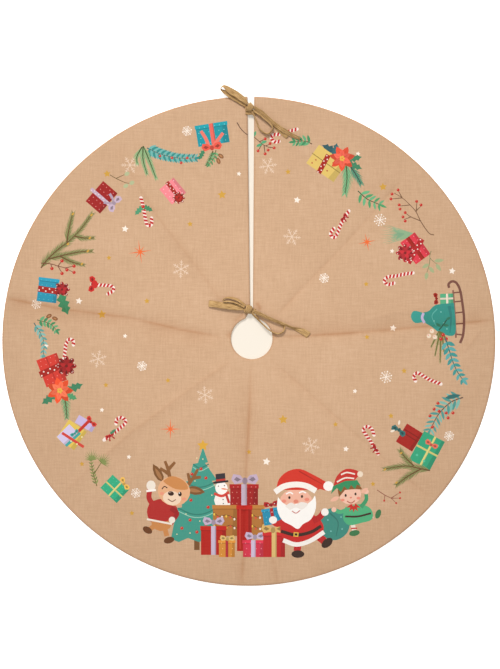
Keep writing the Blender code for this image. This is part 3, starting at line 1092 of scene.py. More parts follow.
# At the left of the slit: the teal gift and its berry twig, and the twig that the slit cuts through.
gift(-65.5, 379, 58, 39, 9, "#0C98A4", "#EE6A5E", 0.0, None, 8.0, "#7FD3D3", 7.0)
ink(stroke([(-86.5, 384.5), (-77.5, 370), (-72, 355)], 5.5, 7.0), "#F07A6B")
ink(stroke([(-46, 381), (-57, 366), (-66.5, 351.5)], 5.5, 7.0), "#F07A6B")
bow(-66.5, 353.5, 19.0, 8, "#EE5A4A", False)
fir([(-64.5, 348), (-68, 337), (-77.5, 320.5)], 9.0, "#5A8A5E", 2.6)
leafy([(-59, 349.5), (-62.5, 335), (-73.5, 320.5)], 9.0, 4.0, ("#4C8F5C", "#79B07A"), 6.0, "#4A5A36")
for place, turn in (((-50, 338.5), -40), ((-54.5, 329.5), -70)):
    ink(oval(*place, 6.0, 3.6, turn), "#8A5A3A")
    ink(oval(*place, 3.6, 1.6, turn), "#B98357")
holly((-81, 349.5), (-90, 331.5), 9.0, "#3D8460")
berry_twig(
    [
        [(-20.5, 400), (-13, 388), (-2, 378), (10.5, 373.5), (25.5, 360.5), (36.5, 355)],
        [(20.5, 364.5), (31, 370)],
        [(25.5, 360.5), (18, 348)],
        [(29, 358), (31, 342.5)],
        [(32.5, 357), (40, 360.5)],
        [(36.5, 355), (47.5, 353.5)],
    ],
    [(31, 370), (18, 348), (31, 342.5), (36.5, 349.5), (40, 361.5), (47.5, 353.5)],
    "#5B3D33",
    2.8,
    1.7,
)
for base, tip in (
    ((9, 373.5), (14.5, 384.5)),
    ((25.5, 360.5), (14.5, 356)),
    ((23.5, 362.5), (34.5, 366)),
):
    ink(leaf(base, tip, 5.5), "#56A878")

# At the right of the slit: the cane under the bow's tail, and a green twig beyond it.
cane([(89.5, 388), (74.5, 383.5), (58.5, 379), (45.5, 377), (42.5, 371), (49, 364.5), (56.5, 365.5)])
GREEN_LEAVES = ("#3F8F60", "#67AE7C")
leafy([(117, 360.5), (104, 366), (84, 364.5)], 15.0, 5.5, GREEN_LEAVES, 6.5, "#5B4A33", 1.8, 48)

# The yellow gift with holly and a flower, and the pine sprigs below it.
fir([(179, 326), (181, 298.5), (177.5, 271)], 25.0, "#6FA577", 2.2, "#4A5A36", 32.0)
fir([(186.5, 320.5), (197.5, 304), (206.5, 287.5)], 20.0, "#4F8A6E", 2.2, "#3A4A46", 30.0)
holly((164.5, 342.5), (135, 359), 15.0, "#2A5A61")
holly((157, 338.5), (162.5, 362.5), 12.0, "#336A6E")
gift(143, 325, 61, 41, -35, "#E4C36B", "#A8241F", None, None)
ink(stroke([(117, 344), (168, 307.5)], 1.4), "#8F7A3A")
dotted_ribbon([(147, 340.5), (129, 307.5)], 9.0)
for place in ((124, 331.5), (133.5, 322), (144.5, 311.5), (155.5, 326), (117, 326)):
    ink(oval(*place, 1.5, count=7), "#B5403A")
holly((179, 331.5), (208.5, 337), 13.0, "#3D8460")
holly((181, 326), (208.5, 315), 13.0, "#3D8460")
flower(172, 334, 24.0, 12, "#E04E35", "#F2644F")
leafy(
    [(201, 274.5), (217.5, 260), (234, 252.5), (247, 247)], 18.0, 6.0, ("#4FA06B", "#6DB784"), 9.5,
    "#3A5A3C", 2.0, 58,
)

# Down the right side: canes, the berry twig, and the red gift with its dotted bow.
cane([(184.5, 238), (178.5, 229), (170, 214), (162.5, 196), (156.5, 189.5), (151, 196), (157, 206)])
bow(175.5, 226, 8.0, 60, "#B6242A")
berry_twig(
    [
        [(340.5, 194), (331, 197.5), (316.5, 218), (307.5, 236), (296.5, 249), (282, 262), (267, 271)],
        [(282, 262), (274.5, 275.5)],
        [(282, 262), (263.5, 260)],
        [(296.5, 249), (276.5, 247)],
        [(307.5, 236), (309, 254.5)],
        [(307.5, 238), (316.5, 247)],
        [(316.5, 219.5), (298, 227), (287.5, 234.5)],
        [(298, 227), (285.5, 222.5)],
    ],
    [
        (274.5, 276.5),
        (263.5, 269),
        (261.5, 260),
        (276.5, 249),
        (278, 241.5),
        (308.5, 255.5),
        (316.5, 249),
        (287.5, 235),
        (283.5, 227),
        (287.5, 219.5),
    ],
    "#7A5A42",
    2.8,
    1.8,
)
for step in range(11):
    ink(ray(307.5, 194, 161 + 3.6 * step, 6.0 + 3.0 * (step % 3), 62.0 + 6.0 * (step % 2), 2.6), "#8FB38A")
    ink(ray(285.5, 196, 150 + 6.5 * step, 0.0, 32.0, 2.2), "#7FA884")
gift(306, 169.5, 33, 49, 36, "#E23B4C", "#A8241F", 0.0, None, 7.0, "#F48C93")
dotted_ribbon([(318.5, 186.5), (293, 142.5)], 10.0, "#B6242A")
rosette(287.5, 161, 16.5, "#BC2A34", "#FBE3D6")
berry_twig(
    [
        [(335, 164.5), (333, 152), (347.5, 139)],
        [(333, 152), (331, 137), (325.5, 120.5)],
    ],
    [],
    "#7D8358",
)
for base, tip in (
    ((340.5, 146.5), (358.5, 148)),
    ((344, 141), (353, 128)),
    ((331, 141), (318.5, 133.5)),
    ((331, 135.5), (340.5, 124.5)),
    ((327.5, 126), (325.5, 111.5)),
):
    ink(leaf(base, tip, 7.0), "#A8B285")
cane([(302, 124.5), (287.5, 122.5), (271, 119), (256, 117), (249.5, 109.5), (256, 103.5), (267, 106)])

# The sled that carries a gift and a sack: two turned-up runners joined by rungs.
RAIL = "#7A4F45"
for start, end in (
    ((375, 88), (391.5, 89.5)),
    ((377, 71.5), (393.5, 73)),
    ((378, 51), (395.5, 53)),
    ((379, 31), (395.5, 32)),
    ((380, 12.5), (391.5, 11)),
):
    ink(stroke([start, end], 2.6), RAIL)
runner = [
    (368, 97), (367, 104), (373.5, 109), (381.5, 106), (388, 93), (392.5, 67.5), (395.5, 38.5), (393.5, 11),
    (388, -4),
]
ink(stroke(runner, 4.6), RAIL)
ink(stroke([(375, 93), (378, 56.5), (380.5, 5.5)], 3.2), "#8E6153")
gift(363.5, 77, 24, 19, 2, "#56B184", "#F6E3CF", 1.0, 0.5, 4.0, None)
bow(345, 77.5, 11.0, 95, "#A8241F", False)
sack = [
    (377, 69.5),
    (344, 66),
    (331, 55),
    (320, 51),
    (318.5, 42),
    (322, 34.5),
    (336.5, 25.5),
    (351.5, 14.5),
    (373.5, 9),
    (380.5, 22),
]
ink(rounded(sack, 3), "#2F9488")
ink(stroke([(368, 64), (371.5, 42), (369.5, 14.5)], 6.0, 2.0), "#27807A")
ink(stroke([(346, 58.5), (336.5, 45.5), (344, 27.5)], 2.0, 0.8), "#5DB3A6")
ink(curve([(322, 51), (303.5, 55), (298, 44), (305.5, 33), (322, 34.5)], 3), "#37A094")
ink(stroke([(321, 51), (318.5, 42), (323, 33)], 4.6), "#C9B7D8")
spots(((353, 53), (358.5, 33), (340.5, 36.5), (364, 22)), 1.4, "#7CC5B8")

# Under the sled: pine blades, berries and a teal-leaved branch.
for base, tip in (
    ((351.5, 18), (342, -27.5)),
    ((353, 16.5), (351.5, -38.5)),
    ((355, 16.5), (358.5, -20.5)),
    ((349.5, 18), (335, -11)),
    ((357, 14.5), (366, -7.5)),
):
    fir([base, tip], 9.0, "#8C8A5C", 3.4, "#6D6A35", 24)
ink(stroke([(366, 42), (357, 29), (349.5, 20)], 2.4), "#23594A")
for base, tip in (((362.5, 38.5), (371.5, 44)), ((357, 29), (368, 27.5)), ((353, 25.5), (344, 33))):
    ink(leaf(base, tip, 5.0), "#2D7A62")
berries(((336.5, 18), (331, 9), (342, 7)), 4.2, "#F2DDC4")
for place in ((357, 11), (362.5, 3.5), (353, 3.5)):
    berry(*place, 3.4)
leafy(
    [(360.5, 5.5), (368, -16.5), (375, -38.5), (384.5, -59), (397, -75.5)],
    17.0,
    7.5,
    ("#5FACA9", "#3F9893"),
    10.5,
    "#2F6F6E",
    2.4,
    50,
)
cane([(306.5, -73.5), (303.5, -66), (307.5, -59.5), (314.5, -60.5), (331, -70.5), (353, -79)])
leafy(
    [(393.5, -103.5), (375, -110), (360.5, -121), (347.5, -136), (340.5, -148.5), (334, -161.5)],
    22.0,
    6.0,
    ("#4F9A92", "#83BCAE"),
    8.0,
    "#5B4A43",
    2.2,
    54,
)
ink(leaf((360.5, -104.5), (390, -99), 8.0), "#2F6F6E")
for place in (
    (347.5, -114),
    (340.5, -125),
    (349.5, -128.5),
    (333, -137.5),
    (362.5, -132),
    (366, -141),
    (375, -132),
    (337.5, -157.5),
):
    berry(*place, 3.0)
gift(295.5, -177, 35, 39, -32, "#A8211F", "#2E6F6E", None, None)
for line in ([(282, -167), (311, -185)], [(285.5, -161.5), (314.5, -179)]):
    ink(stroke(line, 1.6), "#7A1716")
bow(276.5, -163, 15.0, 145, "#2E6F6E", False)
for place, turn in (((264.5, -165), 20), ((276.5, -149.5), 80)):
    ink(oval(*place, 4.4, 2.0, turn), "#F4E6D2")
gift(327.5, -201, 43, 59, -28, "#2FA67C", "#E6D884", 2.0, 0.0, 4.2, None)
for place in ((309, -209), (322, -220), (333, -181.5), (347.5, -192.5)):
    ink(oval(*place, 2.4, count=7), "#57C29C")
bow(335, -190.5, 13.0, -30, "#F0705C", False)
for line in (
    [(333, -237.5), (311, -233), (287.5, -229), (250.5, -234.5)],
    [(303.5, -229), (287.5, -213.5), (278, -200)],
    [(316.5, -234.5), (293, -247.5), (271, -264)],
):
    fir(line, 19.0, "#7F8150", 2.2, "#6B4A30", 34.0, 1.9)
for place in ((250.5, -235.5), (280, -205.5), (271.5, -259.5)):
    ink(oval(*place, 3.0, 1.6, 40, 7), "#D3A143")
cane([(230.5, -172.5), (226, -161.5), (217.5, -157), (211, -163), (216, -172.5), (225, -185), (238, -207)])
bow(232.5, -197, 8.0, -60, "#B6242A")
berry_twig(
    [
        [(236, -273), (250.5, -282.5), (261.5, -288), (271, -297)],
        [(261.5, -288), (278, -277.5)],
        [(250.5, -282.5), (249, -291.5)],
        [(261.5, -288), (276.5, -288)],
    ],
    [(278, -277.5), (278, -288), (271, -297), (249, -292.5)],
    "#8A4A3A",
    2.0,
)

# Down the left side: the fir branch, the berry twig and the blue gift.
FIR = "#7F8150"
for line, reach in (
    ([(-379.5, 133.5), (-367, 150), (-345, 170), (-330, 181), (-308, 203), (-286, 232.5)], 19.0),
    ([(-332, 179.5), (-328.5, 203), (-321, 234.5)], 17.0),
    ([(-319, 192), (-301, 188.5), (-282.5, 188.5)], 15.0),
    ([(-365, 150), (-335.5, 157.5), (-308, 163), (-286, 164.5)], 17.0),
    ([(-345, 155.5), (-323, 144.5), (-301, 139)], 15.0),
):
    fir(line, reach, FIR, 2.2, "#6B4A30", 34.0, 1.9)
for place in ((-321, 232.5), (-287, 230.5), (-290, 188.5), (-330, 177.5), (-293.5, 164.5), (-304.5, 141)):
    ink(oval(*place, 3.2, 1.8, 50, 7), "#D3A143")
berry_twig(
    [
        [(-379.5, 142.5), (-361.5, 141), (-348.5, 137), (-335.5, 133.5), (-321, 126)],
        [(-361.5, 141), (-359.5, 133.5)],
        [(-348.5, 137), (-341, 146.5)],
        [(-348.5, 137), (-341, 124.5)],
        [(-335.5, 133.5), (-319, 137)],
    ],
    [(-359.5, 132.5), (-341, 146.5), (-319, 137), (-341, 123.5), (-332, 130), (-319, 125.5)],
    "#7A4A3A",
    3.2,
    1.8,
)
gift(-367, 93, 36, 44, -7, "#1E97B3", "#A8241F", None, None, 6.0, "#57B7CC", 6.0)
dotted_ribbon([(-385, 96), (-367, 93), (-348.5, 90.5)], 11.0)
rosette(-341, 94, 14.0, "#A8222A", "#FBE3D6")
holly((-345, 86), (-330, 47.5), 20.0, "#3D8A60")
cane([(-286, 104), (-275, 102.5), (-251.5, 100.5), (-247, 93), (-257, 86)])
bow(-284.5, 104, 15.0, 85, "#CE2B2B", False)
ink(oval(-280.5, 103.5, 5.0, 7.5), "#CE2B2B")
leafy(
    [(-387, 38.5), (-367, 33), (-356, 25.5), (-348.5, 14.5)], 12.0, 5.5, GREEN_LEAVES, 7.0, "#4F6A46", 1.6,
    55,
)
for place, turn in (((-365, 45.5), 30), ((-354, 41), -20)):
    ink(oval(*place, 5.6, 3.6, turn), "#8A5A3A")
    ink(oval(*place, 3.2, 1.6, turn), "#B98357")
leafy(
    [(-392.5, 33), (-379.5, 12.5), (-374, -7.5), (-376, -31.5)],
    12.5,
    5.0,
    ("#5FA39B", "#86BDB4"),
    8.0,
    "#2F6F6E",
    1.8,
    40,
)
cane([(-320, -7.5), (-321, 0.5), (-328.5, 2.5), (-334, -7.5), (-335.5, -20.5), (-337.5, -35)])

# The red gift, its flower and holly, lower on the left.
fir([(-337.5, -97.5), (-334, -117.5), (-332, -141)], 17.0, "#6F9A6C")
gift(-360, -53.5, 40, 53, 21, "#D93C33", "#A8241F", None, None, 6.5, "#F0887C", 0.0)
ink(stroke([(-370.5, -29.5), (-350.5, -77)], 2.0), "#B5302B")
dotted_ribbon([(-381.5, -62.5), (-361.5, -53.5), (-339.5, -42.5)], 12.0)
rosette(-333, -46, 18.0, "#A11F24", "#FBE3D6")
holly((-334, -92), (-302.5, -79), 15.0, "#3D8460")
holly((-352, -97.5), (-378, -115.5), 15.0, "#3D8460")
holly((-334, -97.5), (-313.5, -106.5), 12.0, "#4F9A6A")
flower(-345, -91, 25.0, 0, "#E8502C", "#FF7350")

# Lower left: the yellow and green gifts, the cane and the pine twig.
gift(-323.5, -172, 40, 41, -35, "#E9C65D", "#C8322B", None, None)
gift(-298, -151.5, 36, 16, -30, "#CDBBE0", "#C8322B", None, None)
gift(-331.5, -172, 22, 33, -45, "#D9CCEA", "#C8322B", None, None)
ink(stroke([(-313.5, -168.5), (-290, -145)], 5.5), "#C8322B")
ink(stroke([(-334, -192.5), (-308, -168.5)], 5.0), "#3FA7A0")
ink(stroke([(-341, -168.5), (-301, -194.5)], 5.0), "#D8473C")
bow(-288, -148.5, 12.0, -50, "#D93C33", False)
bow(-317.5, -169.5, 9.0, 40, "#3FA7A0", False)
spots(((-313.5, -189), (-304.5, -176), (-324.5, -183.5)), 1.6, "#F6E9B4")
cane(
    [
        (-242, -152), (-240.5, -144), (-233, -140.5), (-225.5, -145), (-226.5, -152), (-244, -167),
        (-264, -181.5),
    ],
)
bow(-253, -174, 9.0, 30, "#C42B2C")
holly((-253, -170.5), (-242, -161.5), 6.0, "#3D8460")
leafy([(-277, -266), (-284.5, -240), (-288, -220)], 9.0, 3.2, ("#8E9A5A", "#7A8450"), 6.0, "#6D6A35", 1.8, 40)
ink(stroke([(-282.5, -244), (-269.5, -223.5)], 1.8, 1.2), "#6D6A35")
for middle, way in (((-286, -218), 95), ((-268, -223.5), 50)):
    for step in range(13):
        reach = 21.0 - 0.9 * abs(step - 6)
        ink(ray(*middle, way - 84 + 14 * step, 0, reach, 2.6), ("#7D8A4C", "#939E60")[step % 2])
gift(-244.5, -271, 41, 33, -43, "#2FAE82", "#E6D884", 1.0, -1.0, 3.4, "#55C79E")
bow(-227.5, -262, 13.0, -60, "#F6C15F", False)

# The group at the bottom, drawn from back to front. First the tree, with its star, baubles and garlands.
tree = [
    (-83, -194.5),
    (-73.5, -222),
    (-79, -223.5),
    (-57, -255),
    (-66.5, -256.5),
    (-44.5, -297),
    (-57, -299),
    (-46, -343),
    (-53.5, -366.5),
    (-73.5, -361),
    (-90, -368.5),
    (-110.5, -361),
    (-127, -368.5),
    (-141.5, -363),
    (-130.5, -306),
    (-121.5, -304.5),
    (-119.5, -258.5),
    (-108.5, -256.5),
    (-101, -225.5),
    (-92, -223.5),
]
ink(patch(-94, -374, 10.0, 18.0), "#7A5230")
ink(tree, "#3F9A88")
for row in (
    [(-101, -225.5), (-88.5, -233), (-72, -225.5)],
    [(-117.5, -258.5), (-95.5, -267.5), (-77.5, -266), (-57, -256.5)],
    [(-128.5, -306), (-103, -317), (-77.5, -315.5), (-46, -299)],
):
    ink(stroke(row, 2.2), "#2E7D6E")
    ink(stroke([(x, y - 5.5) for x, y in row], 1.4), "#9ED0B8")
for place in (
    (-86.5, -234.5),
    (-77.5, -251),
    (-103, -244),
    (-105, -291.5),
    (-73.5, -304.5),
    (-88.5, -278.5),
    (-121.5, -343),
    (-94, -350),
    (-106.5, -328),
    (-77.5, -335.5),
):
    berry(*place, 3.0, "#C8322B")
spots(
    (
        (-94, -214.5), (-83, -216.5), (-97.5, -256.5), (-66.5, -282.5), (-114, -317), (-88.5, -330),
        (-130.5, -354), (-106.5, -352),
    ),
    1.2, "#F6E9B4",
)
star(-83, -191.5, 11.0, "#DFA93F", 90)

# The snowman behind the gifts, with a dark hat and a red scarf.
ink(oval(-46, -291.5, 16.5, 15.5), "#FBF3EA")
ink(oval(-49, -269.5, 11.5), "#FFF8F0")
ink(stroke([(-62.5, -279.5), (-48, -284), (-35, -277)], 5.0), "#D9463B")
ink(stroke([(-40.5, -280.5), (-35, -297)], 4.6), "#C43A32")
hat = [(-64.5, -258.5), (-37, -255), (-36, -258.5), (-63.5, -262)]
ink(hat, "#2B2A30")
ink([(-59, -258.5), (-60, -244), (-42.5, -242), (-41.5, -256.5)], "#35343B")
ink([(-59, -257.5), (-59, -254), (-42, -252), (-41.5, -255.5)], "#C43A32")
spots(((-54.5, -266), (-43.5, -265), (-46, -290.5), (-45.5, -298)), 1.2, "#22201F")
ink(leaf((-50, -270.5), (-37, -272), 2.6), "#EE7A46")

# The stack of gifts, and the two brown boxes among them.
gift(-7.5, -282.5, 51, 40, 0, "#A31E22", "#CDBBD0", 0.0, None, 10.0, "#E08A7C", 8.0)
bow(-6, -256.5, 25.0, 0, "#C6AFC4", False)
gift(-42.5, -329, 44, 57, 0, "#B5773A", "#8A5A2C", None, None, 6.0, None, 7.0)
gift(17, -329, 24, 57, 0, "#B5773A", "#8A5A2C", None, None, 6.0, None, 7.0)
for row in (
    [(-64.5, -313.5), (-53.5, -321), (-39, -319), (-20.5, -326.5)],
    [(-64.5, -335.5), (-48, -343), (-33.5, -337.5), (-20.5, -343)],
    [(5, -315.5), (16, -322.5), (29, -319)],
    [(5, -335.5), (18, -343), (29, -337.5)],
):
    ink(stroke(row, 1.1), "#5B3D2A")
    bulbs = along(row, 8.0, 3.0)
    for number, (x, y, turn) in enumerate(bulbs):
        ink(oval(x, y - 2.2, 1.8, 2.4, count=7), ("#F2C84B", "#E2503C", "#FBE9D6")[number % 3])
gift(-7, -343, 27, 84, 0, "#B8201C", "#B8201C", None, None, 6.0, None, 8.0)
ink(stroke([(-15, -308), (-15, -381)], 1.6), "#D84A3C")
ink(stroke([(1.5, -308), (1.5, -381)], 1.6), "#8E1715")
gift(-63.5, -365.5, 46, 53, 0, "#B8201C", "#CDBBD0", 0.0, None, 9.0, None, 8.0)
bow(-63.5, -332.5, 20.0, 0, "#C9B4CB", False)
gift(9.5, -380.5, 38, 31, 0, "#D8354E", "#D3C1D8", 0.0, None, 8.5, "#F2909C", 6.0)
bow(12.5, -359.5, 19.0, 0, "#CDB9D2", False)
gift(47.5, -373, 40, 46, 0, "#C2262B", "#E2BE77", 0.0, None, 9.0, None, 7.0)
bow(45.5, -346.5, 22.0, 0, "#E0B56B", False)
gift(-39, -380.5, 29, 31, 0, "#D98F3A", "#B8323A", 0.0, None, 5.0, "#F2C77C", 5.0)
bow(-38, -363, 14.0, 0, "#E6C176", False)
gift(44.5, -321, 35, 30, 9, "#1E8FB0", "#B6242A", 0.0, None, 6.0, "#6CC0D4", 5.0)
bow(42, -300.5, 14.0, 8, "#B6242A", False)
spots(((36.5, -300.5), (48, -298), (43.5, -313.5), (45.5, -326.5)), 1.0, "#FBE3D6")

# A young deer in a red jumper, waving one mitten.
DEER = "#CF8A50"
for side, antler in (
    (-1, [(-143.5, -251), (-147, -234.5), (-152.5, -220)]),
    (-1, [(-147, -236.5), (-134, -222)]),
    (-1, [(-145, -244), (-161.5, -233)]),
    (1, [(-112, -266), (-101, -251), (-92, -234.5)]),
    (1, [(-101, -251), (-86.5, -249.5)]),
    (1, [(-106.5, -258.5), (-110.5, -242)]),
):
    ink(stroke(antler, 7.0, 5.0), "#8C5D37")
ink(leaf((-156, -258.5), (-174.5, -225.5), 15.0), "#7E5431")
ink(leaf((-158, -255), (-170.5, -233), 6.5), "#A8754A")
ink(leaf((-114, -271.5), (-79, -277), 16.0), "#7E5431")
ink(leaf((-110.5, -272), (-86.5, -276), 7.0), "#A8754A")
body = [
    (-180, -295), (-156, -289.5), (-130.5, -304.5), (-132.5, -326.5), (-143.5, -339), (-176, -333.5),
    (-185.5, -313.5),
]
ink(rounded(body, 3), "#B52B2B")
ink(
    curve(
        [(-178, -326.5), (-161.5, -333.5), (-139.5, -328), (-143.5, -343), (-161.5, -348.5), (-176, -341)],
        2,
    ),
    DEER,
)
ink(stroke([(-172.5, -302.5), (-181.5, -288), (-180, -271.5)], 10.0, 9.0), "#B52B2B")
ink(oval(-178, -265, 8.5, 9.5), "#F3E6D6")
ink(stroke([(-186.5, -275), (-169, -273)], 4.0), "#FFF6EC")
ink(stroke([(-141.5, -306), (-130.5, -315.5), (-136, -326.5)], 9.0, 8.0), "#9E2226")
ink(oval(-139.5, -328, 6.0), "#F3E6D6")
ink(stroke([(-185.5, -326.5), (-139.5, -335.5)], 3.4), "#F3E6D6")
ink(stroke([(-172.5, -339), (-181.5, -346.5)], 9.0), DEER)
ink(stroke([(-152.5, -343), (-149, -357.5)], 9.0), DEER)
ink(oval(-184.5, -346.5, 9.5, 6.0, 150), "#6B3F24")
ink(oval(-145, -365, 10.0, 6.0, 15), "#6B3F24")
ink(oval(-136, -275, 30.0, 27.0, -15, 18), "#E9B084")
ink(
    curve(
        [
            (-156, -256.5), (-139.5, -247.5), (-117.5, -256.5), (-110.5, -271.5), (-132.5, -271.5),
            (-150.5, -262),
        ],
        3,
    ),
    DEER,
)
ink(oval(-139.5, -288, 17.0, 13.0, -10, 14), "#F6D6B8")
ink(oval(-141.5, -279.5, 5.6, 4.2, -10), "#3A2620")
ink(oval(-143.5, -277.5, 1.5, 1.0, count=6), "#B99A8C")
ink(stroke([(-147, -289.5), (-139.5, -294), (-132.5, -290.5)], 1.5), "#7A3E2A")
ink(oval(-125, -280.5, 3.4, 4.2), "#2B201C")
ink(oval(-126, -278.5, 1.2, count=6), "#FFFFFF")
ink(stroke([(-158, -271.5), (-153.5, -266.5), (-148, -269.5)], 1.8), "#3A2620")
for place in ((-158, -279.5), (-117.5, -289.5)):
    ink(oval(*place, 4.0, 3.0), "#EE9B7C")

# The bearded figure in the red coat and hat, with its sack over the shoulder.
sack = [
    (137, -311.5), (155.5, -306), (175.5, -313.5), (186.5, -328), (181, -352), (161, -365), (140.5, -359.5),
    (129.5, -341),
]
ink(rounded(sack, 3), "#3B8C7E")
ink(stroke([(150, -315.5), (164.5, -332), (161, -357.5)], 3.0, 1.2), "#2E7468")
spots(((146, -328), (170, -322.5), (172, -344.5), (151.5, -348.5)), 1.5, "#7CC5B8")
ink(stroke([(91, -374), (89.5, -385)], 13.0), "#C0282A")
ink(stroke([(128, -357.5), (139, -366.5)], 14.0), "#C0282A")
ink(oval(91, -390.5, 12.0, 7.0, 0), "#3A2A26")
ink(oval(144.5, -370, 12.0, 7.5, 40), "#3A2A26")
coat = [
    (64, -324.5), (89.5, -313.5), (120.5, -319), (137, -335.5), (135, -354), (111.5, -366.5), (85.5, -372),
    (64, -363), (58.5, -343),
]
ink(rounded(coat, 3), "#C92A2A")
ink(stroke([(64, -365), (87.5, -373), (113, -366.5), (139, -350)], 8.0), "#FBF3EA")
ink(stroke([(60, -348.5), (87.5, -355.5), (115, -350), (133.5, -339)], 6.0), "#3A2A26")
ink(patch(87.5, -354.5, 9.0, 8.0, -5), "#E6B84A")
ink(patch(87.5, -354.5, 5.0, 4.2, -5), "#3A2A26")
ink(stroke([(67.5, -330), (53, -335.5), (45.5, -330)], 12.0, 10.0), "#C92A2A")
ink(oval(45.5, -328, 7.5, 7.0), "#FBF3EA")
ink(stroke([(118.5, -330), (131.5, -322.5), (139, -311.5)], 12.0, 10.0), "#B82427")
ink(oval(140.5, -313.5, 7.0), "#FBF3EA")
ink(oval(87.5, -295, 30.0, 24.0, 0, 16), "#F4B79E")
beard = [
    (54.5, -286),
    (64, -297),
    (76.5, -302.5),
    (89.5, -298),
    (104, -300.5),
    (117, -291.5),
    (122.5, -284),
    (124, -306),
    (115, -326.5),
    (100.5, -335.5),
    (91, -344.5),
    (78.5, -337.5),
    (62, -328),
    (53, -308),
]
ink(rounded(beard, 3), "#FFFAF3")
ink(
    curve(
        [
            (67.5, -302.5), (78.5, -296), (87.5, -300.5), (96.5, -295), (109.5, -299), (98.5, -309),
            (87.5, -305), (76.5, -310),
        ],
        3,
    ),
    "#F3E9DF",
)
ink(oval(87.5, -294, 4.6, 3.6), "#E58A72")
ink(stroke([(80, -311.5), (87.5, -315.5), (95, -310.5)], 1.6), "#C2564A")
for place in ((75.5, -287), (98.5, -285)):
    ink(oval(*place, 2.2, 2.8, count=8), "#2B201C")
for place in ((65.5, -293.5), (107.5, -290.5)):
    ink(oval(*place, 4.4, 3.2), "#EE8F7A")
for eyebrow in ([(69, -280.5), (76.5, -277.5), (82, -280.5)], [(93, -278.5), (99.5, -276), (106, -278.5)]):
    ink(stroke(eyebrow, 2.4), "#FFFAF3")
hat = [
    (51, -273), (56.5, -253), (73, -238.5), (95, -234.5), (117, -244), (137, -255), (155.5, -267.5),
    (148, -275), (131.5, -271.5), (122.5, -273),
]
ink(rounded(hat, 3), "#D63529")
ink(stroke([(93, -238.5), (115, -251), (135, -262)], 2.0, 1.0), "#A8241F")
ink(stroke([(49, -277), (65.5, -266.5), (87.5, -263), (107.5, -266), (124, -275)], 10.5), "#FBF3EA")
ink(oval(147, -266, 9.5, 9.0), "#FFF8F0")

# The helper in green, with a striped hat and stockings.
ink(stroke([(190, -330), (194, -346.5)], 8.0), "#F3E6D6")
ink(stroke([(212, -324.5), (228.5, -321)], 8.0), "#F3E6D6")
for band in (
    [(186.5, -335.5), (197.5, -334.5)], [(188.5, -343.5), (199.5, -343)], [(217.5, -318), (218.5, -327)],
    [(226, -316), (227, -325.5)],
):
    ink(stroke(band, 2.6), "#C8322B")
ink(oval(194.5, -352, 10.0, 5.5, 10), "#3D7A4E")
ink(oval(238, -317, 9.0, 5.0, 70), "#3D7A4E")
tunic = [
    (177.5, -304.5), (205, -299), (225, -308), (227, -326.5), (206.5, -333.5), (184.5, -337.5),
    (173.5, -324.5),
]
ink(rounded(tunic, 3), "#4FB17D")
ink(stroke([(177.5, -321.5), (201, -321.5), (225, -315.5)], 3.4), "#3A2A26")
ink(stroke([(183, -308), (168, -313.5), (159, -310)], 7.5, 6.5), "#4FB17D")
ink(oval(157, -309, 4.6), "#F5C3AB")
ink(stroke([(206.5, -304.5), (216, -291.5), (216, -280.5)], 7.5, 6.5), "#3F9A6A")
ink(oval(216, -276, 4.8), "#F5C3AB")
for step in range(5):
    ink(ray(193, -300.5, 200 + 35 * step, 2.0, 14.0, 8.0), "#C8322B")
for base, tip in (((166.5, -286), (150, -293.5)), ((206.5, -278.5), (219.5, -269.5))):
    ink(leaf(base, tip, 8.0), "#F0B79C")
ink(oval(186.5, -280.5, 20.5, 19.0, 0, 16), "#F5C3AB")
ink(
    curve(
        [
            (166.5, -286), (164.5, -269.5), (179, -262), (197.5, -260.5), (208.5, -271.5), (195.5, -271.5),
            (177.5, -273),
        ],
        3,
    ),
    "#8B5A32",
)
for place in ((178.5, -283), (196.5, -280.5)):
    ink(oval(*place, 2.0, 2.8, count=8), "#2B201C")
for place in ((173, -291.5), (202, -288)):
    ink(oval(*place, 3.6, 2.6), "#EE8F7A")
ink(oval(188, -287, 2.2, 1.7, count=7), "#E58A72")
ink(stroke([(181, -293.5), (188.5, -297), (195.5, -292.5)], 1.7), "#B04A3C")
hat = [
    (155.5, -267.5), (162.5, -247.5), (179, -234.5), (199.5, -237.5), (203, -245.5), (195.5, -255),
    (199.5, -262), (177.5, -264),
]
ink(rounded(hat, 3), "#C8332D")
for band in (
    [(162.5, -258.5), (177.5, -251), (194, -252)],
    [(170, -245), (181, -241), (195.5, -244)],
):
    ink(stroke(band, 2.6), "#F6EADB")
ink(oval(205, -244, 5.4), "#F2DDC4")
brim = [
    (151.5, -280.5),
    (155.5, -266),
    (177.5, -256.5),
    (199.5, -255),
    (206.5, -266),
    (199.5, -263),
    (195.5, -271.5),
    (188.5, -264),
    (183, -273),
    (175.5, -266),
    (170, -277),
    (162.5, -269.5),
]
ink(brim, "#2F8F5F")


